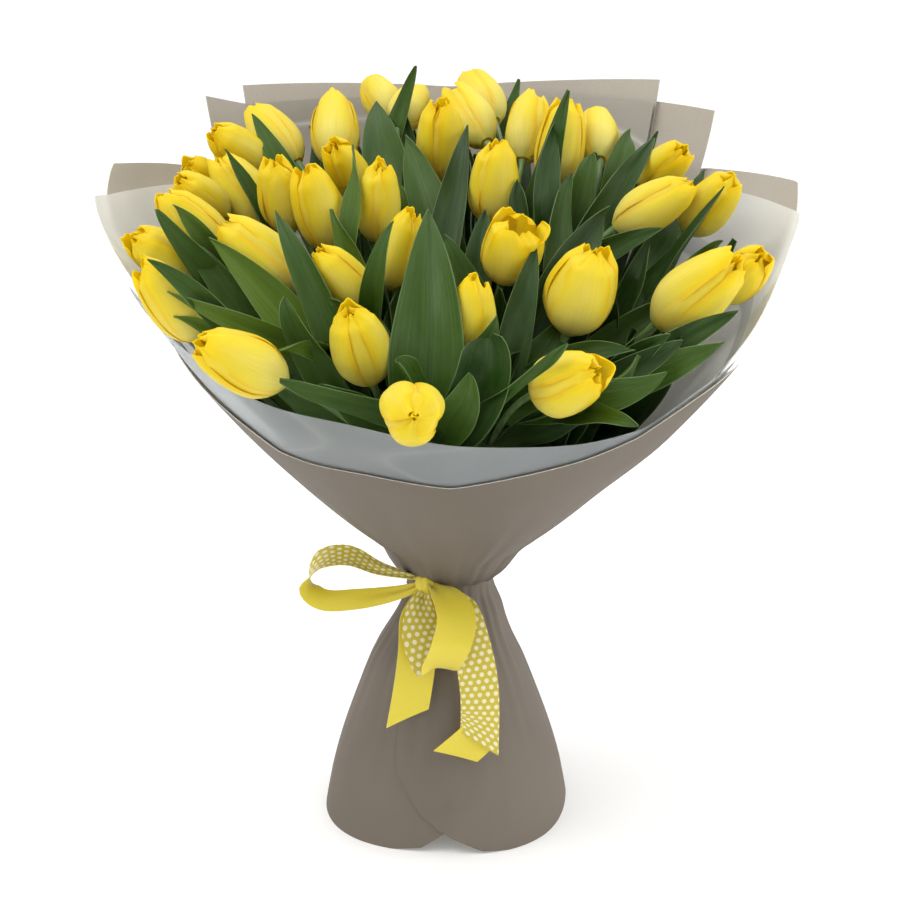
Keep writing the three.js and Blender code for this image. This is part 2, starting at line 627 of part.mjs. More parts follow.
/** Gives a leaf's curve and facing for a nudge. */
function leafPose(leaf, nudge, stems) {
  let tip;
  let root;
  let face;
  if (leaf.tip) {
    tip = onDome(leaf.tip, leaf.rise).addScaledVector(VIEW_AHEAD, nudge.shift);
    root = onDome(leaf.root, -10).addScaledVector(VIEW_AHEAD, nudge.shift);
    face = VIEW_AHEAD.clone().negate().lerp(tip.clone().setZ(0).normalize(), 0.25);
  } else {
    const bearing = MathUtils.degToRad(leaf.bearing);
    const outward = new Vector3(Math.sin(bearing), -Math.cos(bearing), 0);
    tip = outward.clone().multiplyScalar(leaf.reach - nudge.shift).setZ(leaf.height);
    root = outward.clone().multiplyScalar(leaf.reach * 0.72 - nudge.shift).setZ(leaf.height - 90);
    face = outward.clone().negate().setZ(0.5).normalize();
  }
  const run = tip.clone().sub(root);
  const below = root.clone().addScaledVector(run.clone().normalize(), -34).add(new Vector3(0, 0, -26));
  const seat = leafSeat(stems, below);
  const bow = face.clone().multiplyScalar(leaf.bow ?? 0);
  tip.x += nudge.sway;
  root.x += nudge.sway * 0.5;
  const curve = new CubicBezierCurve3(
    seat.point, seat.point.clone().lerp(root, 0.55).add(new Vector3(0, 0, 6)),
    root.clone().lerp(tip, 0.42).add(bow), tip);
  face.applyAxisAngle(run.normalize(), MathUtils.degToRad((leaf.roll ?? 0) + nudge.roll));
  return { curve, face, seat };
}

/** Places every leaf on a stem, moved as little as it takes to clear what is in its way. */
function placeLeaves(blooms, stems, walls) {
  const leaves = [];
  const nudges = leafNudges();
  const solidBlooms = blooms.map((bloom) => bloom.solid);
  [...LEAVES, ...BACK_LEAVES].forEach((leaf, index) => {
    const wave = LEAF_WAVE * Math.cos(index * GOLDEN_TURN);
    for (const mayTouchItsGroup of [false, true]) {
      for (const nudge of nudges) {
        const { curve, face, seat } = leafPose(leaf, nudge, stems);
        const group = stems[seat.k].group;
        const isObstacle = (other) => other.group !== group || !mayTouchItsGroup;
        const obstacles = [
          ...stems.filter((stem, k) => k !== seat.k && isObstacle(stem)).map((stem) => stem.solid),
          ...leaves.filter((other) => other.stem !== seat.k && isObstacle(other)).map((other) => other.solid),
          ...solidBlooms, ...walls,
        ];
        const solid = leafSolid(curve, leaf.width * nudge.share, face, wave);
        if (isClear(solid, obstacles)) {
          leaves.push({ solid, group, index, nudge, stem: seat.k });
          stems[seat.k].leafCount += 1;
          return;
        }
      }
    }
  });
  return leaves;
}

/** How far the hem flares beyond a round one: most at its four corners. */
function hemFlare(bearing, height) {
  const share = FLARE_AT_CORNERS * Math.sin(2 * bearing) ** 2 + FLARE_AT_SIDES * Math.sin(bearing) ** 2;
  return HEM_FLARE * share * (1 - MathUtils.smoothstep(height, 0, HEM_FLARE_TOP));
}

/** How far a side of the wrap is drawn in: both sides above the waist, and the right one over the hem. */
function drawnIn(bearing, height) {
  return DRAWN_IN.reduce((sum, { side, depth, from, full, until, end }) => {
    const share = MathUtils.smoothstep(height, from, full) * (1 - MathUtils.smoothstep(height, until, end));
    return sum + depth * share * Math.max(0, side * Math.sin(bearing));
  }, 0);
}

/** Gives the corner of the wrap's net at a column and a row, moved out from the innermost layer. */
function wallCorner(bearing, row, layer, face) {
  const [height, radius] = WALL[row];
  const [low, high] = [WALL[Math.max(0, row - 1)], WALL[Math.min(WALL.length - 1, row + 1)]];
  const rise = high[0] - low[0];
  const run = high[1] - low[1];
  const slope = Math.hypot(rise, run);
  const splay = MathUtils.smoothstep(height, 200, 420);
  const waves = Math.sin(7 * bearing + 0.6) * 0.6 + Math.sin(11 * bearing + 2) * 0.4;
  const skirt = MathUtils.smoothstep(140 - height, 0, 140) * Math.sin(4 * bearing + 1.1) * SKIRT_WAVE;
  const pitch = SHEET_PITCH + splay * (SHEET_SPLAY - SHEET_PITCH);
  const out = layer * pitch + face * SHEET_THICKNESS / 2 + splay * SHEET_WAVE * waves + skirt;
  const reach = radius + (out * rise) / slope + hemFlare(bearing, height) - drawnIn(bearing, height);
  const z = Math.max(0, height - (out * run) / slope * (height > 20 ? 1 : 0));
  return new Vector3(reach * Math.sin(bearing), -reach * Math.cos(bearing), z);
}

/** Cuts a polygon of [bearing, height] points by a slanted line, keeping what lies under or over it. */
function clip(polygon, from, to, keepUnder) {
  const excess = (point) => {
    const limit = MathUtils.mapLinear(point[0], from[0], to[0], from[1], to[1]);
    return keepUnder ? point[1] - limit : limit - point[1];
  };
  const kept = [];
  polygon.forEach((point, k) => {
    const next = polygon[(k + 1) % polygon.length];
    const [a, b] = [excess(point), excess(next)];
    if (a <= 1e-9) kept.push(point);
    if ((a < -1e-9 && b > 1e-9) || (a > 1e-9 && b < -1e-9)) {
      const share = a / (a - b);
      kept.push([MathUtils.lerp(point[0], next[0], share), MathUtils.lerp(point[1], next[1], share)]);
    }
  });
  return kept;
}

/** Builds one sheet of the wrap from the cells of the shared net that lie inside its outline. */
function sheetGeometry(sheet) {
  const first = sheet.top[0][0];
  const last = sheet.top[sheet.top.length - 1][0];
  const columns = [-360, 0, 360].flatMap((turn) => BEARINGS.map((bearing) => bearing + turn))
    .filter((bearing) => bearing > first + 1 && bearing < last - 1);
  const bearings = [first, ...columns, last];
  const points = [];
  const faces = [];
  const edges = new Map();
  const place = (point, cell, face) => {
    const [left, right, row] = cell;
    const a = (point[0] - left) / (right - left);
    const b = (point[1] - WALL[row][0]) / (WALL[row + 1][0] - WALL[row][0]);
    const corner = (bearing, level) => wallCorner(MathUtils.degToRad(bearing), level, sheet.layer, face);
    const lower = corner(left, row).lerp(corner(right, row), a);
    const upper = corner(left, row + 1).lerp(corner(right, row + 1), a);
    return lower.lerp(upper, b);
  };
  const key = (point) => `${point[0].toFixed(4)},${point[1].toFixed(4)}`;
  for (let c = 0; c < bearings.length - 1; c += 1) {
    const [left, right] = [bearings[c], bearings[c + 1]];
    for (let row = 0; row < WALL.length - 1; row += 1) {
      const cell = [left, right, row];
      const [low, high] = [WALL[row][0], WALL[row + 1][0]];
      let polygon = [[left, low], [right, low], [right, high], [left, high]];
      polygon = clip(polygon, [left, along(sheet.top, left)], [right, along(sheet.top, right)], true);
      polygon = clip(polygon, [left, along(sheet.bottom, left)], [right, along(sheet.bottom, right)], false);
      if (polygon.length < 3) continue;
      const outer = polygon.map((point) => points.push(place(point, cell, 1)) - 1);
      const inner = polygon.map((point) => points.push(place(point, cell, -1)) - 1);
      for (let k = 1; k < polygon.length - 1; k += 1) {
        faces.push([outer[0], outer[k], outer[k + 1]], [inner[0], inner[k + 1], inner[k]]);
      }
      polygon.forEach((point, k) => {
        const next = (k + 1) % polygon.length;
        const [here, there] = [key(point), key(polygon[next])];
        if (edges.has(`${there}|${here}`)) edges.delete(`${there}|${here}`);
        else edges.set(`${here}|${there}`, [outer[k], outer[next], inner[next], inner[k]]);
      });
    }
  }
  for (const [a, b, c, d] of edges.values()) faces.push([a, d, c], [a, c, b]);
  return geometryFrom(points, faces);
}

/** Winds the string round the stems at the tie. */
function stringGeometry() {
  const inner = STEM_PITCH * 3 + STEM_RADIUS + 3 * GAP;
  const profile = [
    [inner, -1.2], [inner + 0.8, -1.2], [inner + 0.8, 1.2], [inner, 1.2], [inner, -1.2],
  ].map(([x, y]) => new THREE.Vector2(x, y));
  const ring = new THREE.LatheGeometry(profile, 12);
  ring.rotateX(Math.PI / 2);
  ring.translate(0, 0, TIE_HEIGHT);
  ring.deleteAttribute("normal");
  ring.deleteAttribute("uv");
  return mergeVertices(ring, 1e-4);
}

/** Lays a strip of ribbon along a run, gathered where it comes out of the knot. */
function ribbonRun(run) {
  const curve = new THREE.CatmullRomCurve3(run.points.map((point) => new Vector3(...point)));
  const steps = Math.round(run.points.length * 1.6);
  const isTail = run.kind === "tail";
  const points = [];
  const faces = [];
  for (let k = 0; k <= steps; k += 1) {
    const share = k / steps;
    const middle = curve.getPoint(share);
    const tangent = curve.getTangent(share);
    const across = new Vector3(...run.across);
    across.addScaledVector(tangent, -across.dot(tangent)).normalize();
    const normal = tangent.clone().cross(across);
    const fromKnot = isTail ? share : Math.min(share, 1 - share);
    const gathered = Math.max(0.3, MathUtils.smoothstep(fromKnot, -0.15, 0.3));
    const half = (RIBBON_WIDTH / 2) * run.share * gathered;
    const slant = isTail && k === steps ? RIBBON_WIDTH * 0.7 : 0;
    for (const [side, face] of [[-1, -1], [1, -1], [1, 1], [-1, 1]]) {
      points.push(middle.clone().addScaledVector(across, side * half)
        .addScaledVector(tangent, (-slant * (side + 1)) / 2)
        .addScaledVector(normal, (face * RIBBON_THICKNESS) / 2));
    }
  }
  for (let k = 0; k < steps; k += 1) {
    for (let corner = 0; corner < 4; corner += 1) {
      const a = k * 4 + corner;
      const b = k * 4 + (corner + 1) % 4;
      faces.push([a, b, b + 4], [a, b + 4, a + 4]);
    }
  }
  const end = steps * 4;
  faces.push([0, 2, 1], [0, 3, 2], [end, end + 1, end + 2], [end, end + 2, end + 3]);
  return solidFrom(geometryFrom(points, faces));
}

/** Ties the ribbon: a bunched ring round the waist, the knot, two loops and two tails in one body. */
function ribbonSolid() {
  const inner = WAIST_RADIUS + 5 * SHEET_PITCH + SHEET_THICKNESS / 2 + 2 * GAP;
  const profile = [
    [inner, -2.6], [inner + 1.7, -2], [inner + 1.3, 0], [inner + 1.8, 1.8], [inner, 2.6], [inner, -2.6],
  ].map(([x, y]) => new THREE.Vector2(x, y));
  const ring = new THREE.LatheGeometry(profile, 18);
  ring.rotateX(Math.PI / 2);
  ring.translate(0, 0, TIE_HEIGHT + 3.5);
  const knot = new THREE.IcosahedronGeometry(1, 1);
  knot.scale(...KNOT.size);
  knot.translate(...KNOT.at);
  const pieces = [ring, knot].map((piece) => {
    piece.deleteAttribute("normal");
    piece.deleteAttribute("uv");
    return solidFrom(mergeVertices(piece, 1e-4));
  });
  return fuse([...pieces, ...RIBBON_RUNS.map(ribbonRun)]);
}

/** Adds a named sub-part to the bunch. */
function addPart(group, name, geometry, colour, roughness) {
  const material = new THREE.MeshStandardMaterial({ color: colour, roughness, metalness: 0 });
  const mesh = new THREE.Mesh(geometry, material);
  mesh.name = name;
  group.add(mesh);
}

const bunch = new THREE.Group();
const sheets = SHEETS.map((sheet) => ({ ...sheet, geometry: sheetGeometry(sheet) }));
const walls = sheets.map((sheet) => solidFrom(sheet.geometry));
const blooms = placeBlooms(walls);
const seats = assignSeats(blooms);
const stems = placeStems(blooms, seats, walls);
const leaves = placeLeaves(blooms, stems, walls);

blooms.forEach((bloom) => {
  addPart(bunch, `bloom_${String(bloom.index + 1).padStart(2, "0")}`, bloom.geometry, COLOURS.petal, 0.45);
});
for (let group = 0; group <= 6; group += 1) {
  const pieces = [
    ...stems.filter((stem) => stem.group === group).map((stem) => stem.solid),
    ...leaves.filter((leaf) => leaf.group === group).map((leaf) => leaf.solid),
    ...pressedSides(seats, group),
  ];
  addPart(bunch, `leafy_stems_${group + 1}`, geometryOf(fuse(pieces)), COLOURS.green, 0.5);
}
sheets.forEach((sheet) => addPart(bunch, sheet.name, sheet.geometry, COLOURS[sheet.kind], 0.7));
addPart(bunch, "string", stringGeometry(), COLOURS.string, 0.9);
addPart(bunch, "ribbon", geometryOf(ribbonSolid()), COLOURS.ribbon, 0.4);

export default bunch;
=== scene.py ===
from math import cos, pi, radians, sin, sqrt

import bpy
import numpy as np
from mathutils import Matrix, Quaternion, Vector, geometry, kdtree


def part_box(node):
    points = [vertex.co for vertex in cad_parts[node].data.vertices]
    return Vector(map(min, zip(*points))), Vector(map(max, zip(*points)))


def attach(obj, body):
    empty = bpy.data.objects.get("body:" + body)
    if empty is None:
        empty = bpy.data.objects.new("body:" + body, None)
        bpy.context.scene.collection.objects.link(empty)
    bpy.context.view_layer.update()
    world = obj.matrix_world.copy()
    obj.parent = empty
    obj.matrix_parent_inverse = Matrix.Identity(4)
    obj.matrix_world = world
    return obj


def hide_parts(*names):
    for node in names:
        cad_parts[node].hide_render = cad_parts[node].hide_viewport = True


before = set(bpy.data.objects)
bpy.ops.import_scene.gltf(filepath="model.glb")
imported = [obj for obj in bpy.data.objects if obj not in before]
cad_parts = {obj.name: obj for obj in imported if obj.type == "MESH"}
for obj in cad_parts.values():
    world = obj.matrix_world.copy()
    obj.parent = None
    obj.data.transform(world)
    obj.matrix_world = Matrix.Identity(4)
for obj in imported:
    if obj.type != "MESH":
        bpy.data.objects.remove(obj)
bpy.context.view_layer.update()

# Tulip blooms: closed cups of six fleshy yellow petals, three broad outer ones whose edges lie over three
# inner ones. A bloom grew in one piece on the end of its stem, and stands where its solid stands.
PETAL_THICKNESS = 0.0007
PETAL_STEP = 0.0008
PETAL_ROWS, PETAL_COLUMNS = 24, 17
GIRTH = 0.98
BLOOM_OUTLINE = [[0, 0.3], [0.06, 0.54], [0.14, 0.76], [0.3, 0.97], [0.42, 1], [0.6, 0.94], [0.78, 0.8],
                 [0.9, 0.69], [0.96, 0.6], [1, 0.52]]
PETAL_OUTLINE = [[0, 0.3], [0.1, 0.6], [0.25, 0.86], [0.42, 0.93], [0.6, 0.85], [0.76, 0.72], [0.87, 0.6],
                 [0.95, 0.53], [1, 0.4]]
# What a few blooms, by number, have of their own: how far one is open or shut at its tip, how full its lobes
# are, and how far it is turned
OPENED = {29: 0.6}
CLOSED = {37: 0.8, 29: -0.1}
LOBE = {37: 0.16, 36: 0.13, 27: 0.13}
TURNED = {34: radians(-24), 36: radians(32)}


def smooth_along(pairs, where):
    """Reads [where, value] pairs by a smooth curve that never swings past them."""
    x, y = np.array(pairs, float).T
    rise = np.diff(y) / np.diff(x)
    before, after = rise[:-1], rise[1:]
    same = before * after > 0
    inner = np.where(same, 2 * before * after / np.where(same, before + after, 1), 0)
    slope = np.concatenate([rise[:1], inner, rise[-1:]])
    where = np.clip(where, x[0], x[-1])
    k = np.clip(np.searchsorted(x, where, side="right") - 1, 0, len(x) - 2)
    width = x[k + 1] - x[k]
    t = (where - x[k]) / width
    return ((1 + 2 * t) * (1 - t) ** 2 * y[k] + t * (1 - t) ** 2 * width * slope[k]
            + t ** 2 * (3 - 2 * t) * y[k + 1] - t ** 2 * (1 - t) * width * slope[k + 1])


def smoothstep(value, low, high):
    """Goes smoothly from 0 at low to 1 at high."""
    t = np.clip((value - low) / (high - low), 0, 1)
    return t * t * (3 - 2 * t)


def unit(ways):
    """Brings each way to a length of one."""
    return ways / np.linalg.norm(ways, axis=-1, keepdims=True)


def thinned(thickness, columns):
    """A petal's or leaf's thickness across it: full at its middle and thin at its edges."""
    return thickness * (1 - 0.6 * np.abs(np.linspace(-1, 1, columns)) ** 3)


def even_places(rows, columns):
    """How far across and along, from 0 to 1, each point of a grid is."""
    along, across = np.meshgrid(np.linspace(0, 1, rows), np.linspace(0, 1, columns), indexing="ij")
    return np.stack([across, along], 2)


def put_up(name, data):
    """Puts a new object into the scene."""
    made = bpy.data.objects.new(name, data)
    bpy.context.scene.collection.objects.link(made)
    return made


class Growth:
    """Gathers thin sheets and round stalks, and makes one mesh object of them."""

    def __init__(self):
        self.points, self.faces, self.places, self.tints, self.kinds = [], [], [], [], []
        self.count = 0

    def add(self, points, faces, places, tint, kinds):
        self.points.append(points)
        self.faces.append(np.array(faces) + self.count)
        self.places.append(places)
        self.tints.append(np.full(len(points), tint))
        self.kinds.append(kinds)
        self.count += len(points)

    def sheet(self, grid, thickness, tint=0.0, kinds=(0, 0, 0), places=None):
        """Adds a grid of points, in rows along it, as a thin closed sheet: outer face, inner face, rim."""
        rows, columns = grid.shape[:2]
        normal = np.cross(np.gradient(grid, axis=1), np.gradient(grid, axis=0))
        normal /= np.linalg.norm(normal, axis=2, keepdims=True) + 1e-12
        lift = normal * np.broadcast_to(thickness, (rows, columns))[..., None] / 2
        points = np.concatenate([(grid + lift).reshape(-1, 3), (grid - lift).reshape(-1, 3)])
        i = np.arange(rows * columns).reshape(rows, columns)
        a, b, c, d = (corner.ravel() for corner in (i[:-1, :-1], i[:-1, 1:], i[1:, 1:], i[1:, :-1]))
        back = rows * columns
        rims = []
        for loop in (i[0], i[:, -1], i[-1, ::-1], i[::-1, 0]):
            rims.append(np.stack([loop[1:], loop[:-1], loop[:-1] + back, loop[1:] + back], 1))
        faces = np.concatenate([np.stack([a, b, c, d], 1), np.stack([d, c, b, a], 1) + back, *rims])
        if places is None:
            places = even_places(rows, columns)
        both = np.concatenate([places.reshape(-1, 2)] * 2)
        counts = [len(a), len(a), len(faces) - 2 * len(a)]
        self.add(points, faces, both, tint, np.repeat(kinds, counts))

    def stalk(self, path, radii, sides, tint=0.0, kind=0):
        """Adds a round stalk along a path, closed at both ends."""
        path = np.array(path, float)
        rows = len(path)
        tangents = unit(np.gradient(path, axis=0))
        side = np.cross(tangents[0], [0.3, 1, 0.1])
        turn = np.linspace(0, 2 * pi, sides, endpoint=False)
        rings = []
        for point, tangent, radius in zip(path, tangents, np.broadcast_to(radii, rows)):
            side = side - tangent * (side @ tangent)
            side /= np.linalg.norm(side)
            other = np.cross(tangent, side)
            rings.append(point + radius * (np.cos(turn)[:, None] * side + np.sin(turn)[:, None] * other))
        i = np.arange(rows * sides).reshape(rows, sides)
        j = np.roll(i, -1, axis=1)
        walls = np.stack([i[:-1].ravel(), j[:-1].ravel(), j[1:].ravel(), i[1:].ravel()], 1)
        caps = []
        for ring in (i[0, ::-1], i[-1]):
            caps += [(ring[k], ring[k + 1], ring[sides - 2 - k], ring[sides - 1 - k])
                     for k in range(sides // 2 - 1)]
        faces = np.concatenate([walls, caps])
        places = even_places(rows, sides).reshape(-1, 2)
        self.add(np.concatenate(rings), faces, places, tint, np.full(len(faces), kind))

    def make(self, name, finishes, slot, *nodes):
        """Makes the object, which stands for the given solids."""
        points, faces = np.concatenate(self.points), np.concatenate(self.faces)
        mesh = bpy.data.meshes.new(name)
        mesh.from_pydata(points.tolist(), [], faces.tolist())
        uv = mesh.uv_layers.new(name="across_along")
        uv.data.foreach_set("uv", np.concatenate(self.places)[faces.ravel()].ravel())
        tint = mesh.attributes.new("tint", "FLOAT", "POINT")
        tint.data.foreach_set("value", np.concatenate(self.tints).astype(np.float32))
        mesh.polygons.foreach_set("material_index", np.concatenate(self.kinds).astype(np.int32))
        for material in finishes:
            mesh.materials.append(material)
        mesh.shade_smooth()
        mesh.set_sharp_from_angle(angle=radians(55))
        piece = put_up(name, mesh)
        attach(piece, "root")
        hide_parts(*nodes)


class Finish:
    """A material under the brush: adds nodes, and keeps its shader at hand."""

    def __init__(self, name):
        self.material = bpy.data.materials.new(name)
        self.material.use_nodes = True
        self.tree = self.material.node_tree
        self.shader = self.tree.nodes["Principled BSDF"]

    def add(self, kind, sockets, **settings):
        """Adds a node; a socket is named or numbered, and is given a number, a colour or another socket."""
        made = self.tree.nodes.new("ShaderNode" + kind)
        for key, value in settings.items():
            setattr(made, key, value)
        for key, value in sockets.items():
            self.give(made.inputs[key], value)
        return made

    def give(self, socket, value):
        if isinstance(value, bpy.types.NodeSocket):
            self.tree.links.new(value, socket)
        else:
            socket.default_value = value

    def place(self):
        """Where a point lies on its sheet: across it and along it."""
        uv = self.add("UVMap", {}, uv_map="across_along")
        return self.add("SeparateXYZ", {0: uv.outputs[0]}).outputs[:2]

    def tint(self):
        return self.add("Attribute", {}, attribute_name="tint").outputs["Fac"]

    def sum(self, operation, *values):
        """A sum on one, two or three numbers."""
        return self.add("Math", dict(enumerate(values)), operation=operation).outputs[0]

    def times(self, one, other):
        return self.sum("MULTIPLY", one, other)

    def off_middle(self, value):
        """How far a number from 0 to 1 is from the middle."""
        return self.sum("ABSOLUTE", self.sum("SUBTRACT", value, 0.5))

    def blend(self, share, one, other, mode="MIX"):
        """Mixes two colours."""
        mixed = self.add("Mix", {0: share, 6: one, 7: other}, data_type="RGBA", blend_type=mode)
        return mixed.outputs[2]

    def ramp(self, share, *stops):
        """A colour that changes through its stops; each is where it is, and a colour or a grey number."""
        made = self.add("ValToRGB", {0: share})
        ramp = made.color_ramp
        while len(ramp.elements) < len(stops):
            ramp.elements.new(1)
        for element, (where, colour) in zip(ramp.elements, stops):
            element.position = where
            element.color = (*colour, 1) if isinstance(colour, tuple) else (colour, colour, colour, 1)
        return made.outputs[0]

    def grain(self, stretch, scale, detail=3.0, seed=None):
        """Noise stretched across and along a sheet, from 0 to 1."""
        across, along = self.place()
        where = self.add("CombineXYZ", {0: self.times(across, stretch[0]), 1: self.times(along, stretch[1]),
                                        2: 0.0 if seed is None else self.times(seed, 7.3)})
        return self.noise(where.outputs[0], scale, detail)

    def clouds(self, scale, detail):
        """Noise that is even in all directions, from 0 to 1."""
        return self.noise(self.add("TexCoord", {}).outputs["Object"], scale, detail)

    def noise(self, where, scale, detail):
        return self.add("TexNoise", {"Vector": where, "Scale": scale, "Detail": detail}).outputs["Fac"]

    def surface(self, colour, roughness, specular=None):
        """Gives the surface its colour, how rough it is and how strong its gloss is."""
        self.give(self.shader.inputs["Base Color"], colour)
        self.give(self.shader.inputs["Roughness"], roughness)
        if specular is not None:
            self.give(self.shader.inputs["Specular IOR Level"], specular)

    def bump(self, height, distance):
        made = self.add("Bump", {"Height": height, "Distance": distance, "Strength": 1.0})
        self.give(self.shader.inputs["Normal"], made.outputs[0])

    def let_through(self, share, colour):
        """Lets a share of the light through, in a colour."""
        through = self.add("BsdfTranslucent", {"Color": colour})
        mixed = self.add("MixShader", {0: share, 1: self.shader.outputs[0], 2: through.outputs[0]})
        self.give(self.tree.nodes["Material Output"].inputs["Surface"], mixed.outputs[0])


def petal_finish():
    """Yellow petal: cream at its foot and along its middle, golden at its edges, partly as painted seam
    shade, with fine veins.
    """
    finish = Finish("petal")
    across, along = finish.place()
    body = finish.ramp(along, (0, (0.6, 0.68, 0.16)), (0.08, (0.9, 0.84, 0.24)), (0.36, (0.95, 0.84, 0.06)),
                       (0.7, (0.97, 0.82, 0.014)), (1, (0.98, 0.77, 0.006)))
    off_middle = finish.off_middle(across)
    paler = finish.ramp(off_middle, (0, 0.5), (0.2, 0.22), (0.36, 0))
    lower = finish.ramp(along, (0, 1), (0.55, 0.7), (0.95, 0))
    colour = finish.blend(finish.times(paler, lower), body, (0.96, 0.9, 0.3, 1))
    # Golden towards the edges: partly the petals' own deeper colour, partly painted shade and glow of the
    # seams where the petals overlap
    edge = finish.ramp(off_middle, (0.36, 0), (0.47, 0.55), (0.5, 0.85))
    colour = finish.blend(edge, colour, (0.97, 0.66, 0.005, 1))
    veins = finish.grain((60, 3.5), 1.0, seed=finish.tint())
    shade = finish.ramp(veins, (0.3, (0.93, 0.9, 0.8)), (0.62, 1))
    colour = finish.blend(1.0, colour, shade, "MULTIPLY")
    inner = finish.sum("GREATER_THAN", finish.tint(), 1.0)
    colour = finish.blend(finish.times(inner, 0.35), colour, (0.98, 0.77, 0.01, 1))
    finish.surface(colour, 0.42, 0.35)
    finish.bump(veins, 0.00012)
    finish.let_through(0.42, finish.blend(0.5, colour, (0.98, 0.88, 0.08, 1)))
    return finish.material


def bloom_stand(node):
    """Reads a bloom's foot, its three ways (a petal's, the next, and up its axis), length and girth."""
    found = np.array([v.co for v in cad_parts[node].data.vertices])
    points = np.unique(np.round(found, 6), axis=0)
    middle = points.mean(0)
    _, ways = np.linalg.eigh(np.cov((points - middle).T))
    axis = ways[:, 2]
    heights = (points - middle) @ axis
    flat = 0.0002
    if (heights < heights.min() + flat).sum() < (heights > heights.max() - flat).sum():
        axis = -axis
        heights = -heights
    foot = middle + axis * heights.min()
    crown = points[heights > heights.max() - flat][0] - foot
    petal_way = crown - axis * (crown @ axis)
    petal_way /= np.linalg.norm(petal_way)
    off = (points - foot) - np.outer((points - foot) @ axis, axis)
    girth = np.linalg.norm(off, axis=1).max()
    return foot, petal_way, np.cross(axis, petal_way), axis, np.ptp(heights), girth


def petal_grid(length, radius, opened, lobe, closed, middle, is_inner, rng):
    """Bends one petal round the bloom's own axis, from its foot to its blunt, notched tip."""
    along = 1 - (1 - np.linspace(0, 1, PETAL_ROWS)) ** 1.4
    share, side = np.meshgrid(along, np.linspace(-1, 1, PETAL_COLUMNS), indexing="ij")
    reach = radius * (smooth_along(BLOOM_OUTLINE, share) + opened * 0.5 * share ** 2)
    half = radius * smooth_along(PETAL_OUTLINE, share) * rng.uniform(0.94, 1.1)
    seam = rng.uniform(-0.2, 0.26) * np.sin(pi * share) + rng.uniform(-0.14, 0.14) * (share - 0.5)
    angle = middle + seam + side * half / reach
    bulge = 0.02 * np.sin(2.2 * pi * share + rng.uniform(0, 6)) * np.cos(1.6 * side + rng.uniform(0, 6))
    flare = (rng.uniform(-0.2, 0.2) - closed) * smoothstep(share, 0.8, 1)
    keel = rng.uniform(-0.03, 0.02) * np.exp(-(side / 0.13) ** 2) * np.sin(pi * share)
    rounded = lobe * (0.35 - side ** 2) * smoothstep(share, 0.02, 0.25)
    lap = 0.018 * side * smoothstep(share, 0.05, 0.3)
    crimp = 0.0004 * np.abs(side) ** 3 * np.sin(9 * share + rng.uniform(0, 6))
    pleats = rng.uniform(0.01, 0.026) * np.cos(rng.uniform(4, 7) * side + rng.uniform(0, 6))
    keel = keel + pleats * smoothstep(share, 0.1, 0.5) * (1 - smoothstep(share, 0.72, 1))
    if is_inner:
        flare -= min(0.45, 0.92 - closed) * smoothstep(share, 0.84, 1)
        rounded = -0.65 * lobe * smoothstep(share, 0.02, 0.25)
        filled = 0.55 * np.exp(-(side / 0.45) ** 2) * smoothstep(share, 0.3, 0.6)
        lap = lap - PETAL_STEP / radius * (1 - filled)
    reach = reach * (1 + bulge + flare + keel + rounded + lap) + crimp
    notch = np.sin(rng.uniform(1.6, 4.4) * side + rng.uniform(0, 6)) ** 2
    drop = (0.065 * side ** 2 + 0.03 * notch) * smoothstep(share, 0.78, 1)
    height = length * (share * rng.uniform(0.92, 1.005) - drop)
    return np.stack([reach * np.cos(angle), reach * np.sin(angle), height], 2)


petal_yellow = petal_finish()
bloom_feet, bloom_sizes = [], []
for number in range(1, 38):
    name = f"bloom_{number:02d}"
    rng = np.random.default_rng(number)
    foot, way, next_way, axis, length, girth = bloom_stand(name)
    bloom_feet.append((Vector(foot), Vector(axis)))
    opened = OPENED.get(number, 0)
    lobe = LOBE.get(number, rng.uniform(0.05, 0.11))
    radius = girth / (1 + 0.1 * opened) * GIRTH
    bloom_sizes.append((length, radius))
    growth = Growth()
    for petal in range(6):
        is_inner = petal % 2 == 1
        bearing = TURNED.get(number, 0) + petal * pi / 3
        grid = petal_grid(length, radius, opened, lobe, CLOSED.get(number, 0.19), bearing, is_inner, rng)
        placed = foot + grid[..., :1] * way + grid[..., 1:2] * next_way + grid[..., 2:] * axis
        thin = thinned(PETAL_THICKNESS, PETAL_COLUMNS)
        growth.sheet(placed, thin, tint=rng.uniform(0, 1) + (1.5 if is_inner else 0))
    growth.make(f"tulip_{number:02d}", [petal_yellow], "petal", name)

# Stems: round green stalks, pressed together at the binding and spread below it in a spiral to their cut
# ends. Each was cut level, and runs up through the bunch to the foot of its own bloom.
TIE_HEIGHT = 0.17
STEM_RADIUS = 0.0025
STEM_PITCH = 0.0057
FOOT_SPREAD = 2.75
FOOT_TURN = radians(-38)
STEM_GAP = 0.00035
CUT_HEIGHT = 0.0006
GOLDEN_TURN = radians(137.5)
# How far a stem may run straight on above the binding and below its bloom, as shares of its way
BENDS = [(0.3, 0.24), (0.4, 0.16), (0.2, 0.3), (0.45, 0.3), (0.3, 0.1), (0.15, 0.2), (0.5, 0.1), (0.35, 0.4),
         (0.1, 0.1), (0.5, 0.42)]


def bundle_seats():
    """The stems' places at the binding, a bundle of rings, each with the group that it belongs to."""
    seats = [(0.0, 0.0, 1)]
    for ring in (1, 2, 3):
        for k in range(6 * ring):
            side, share = k // ring, (k % ring) / ring
            a, b = radians(60 * side), radians(60 * (side + 1))
            x = ring * STEM_PITCH * (cos(a) * (1 - share) + cos(b) * share)
            y = ring * STEM_PITCH * (sin(a) * (1 - share) + sin(b) * share)
            seats.append((x, y, 1 if ring == 1 else side + 2))
    return seats


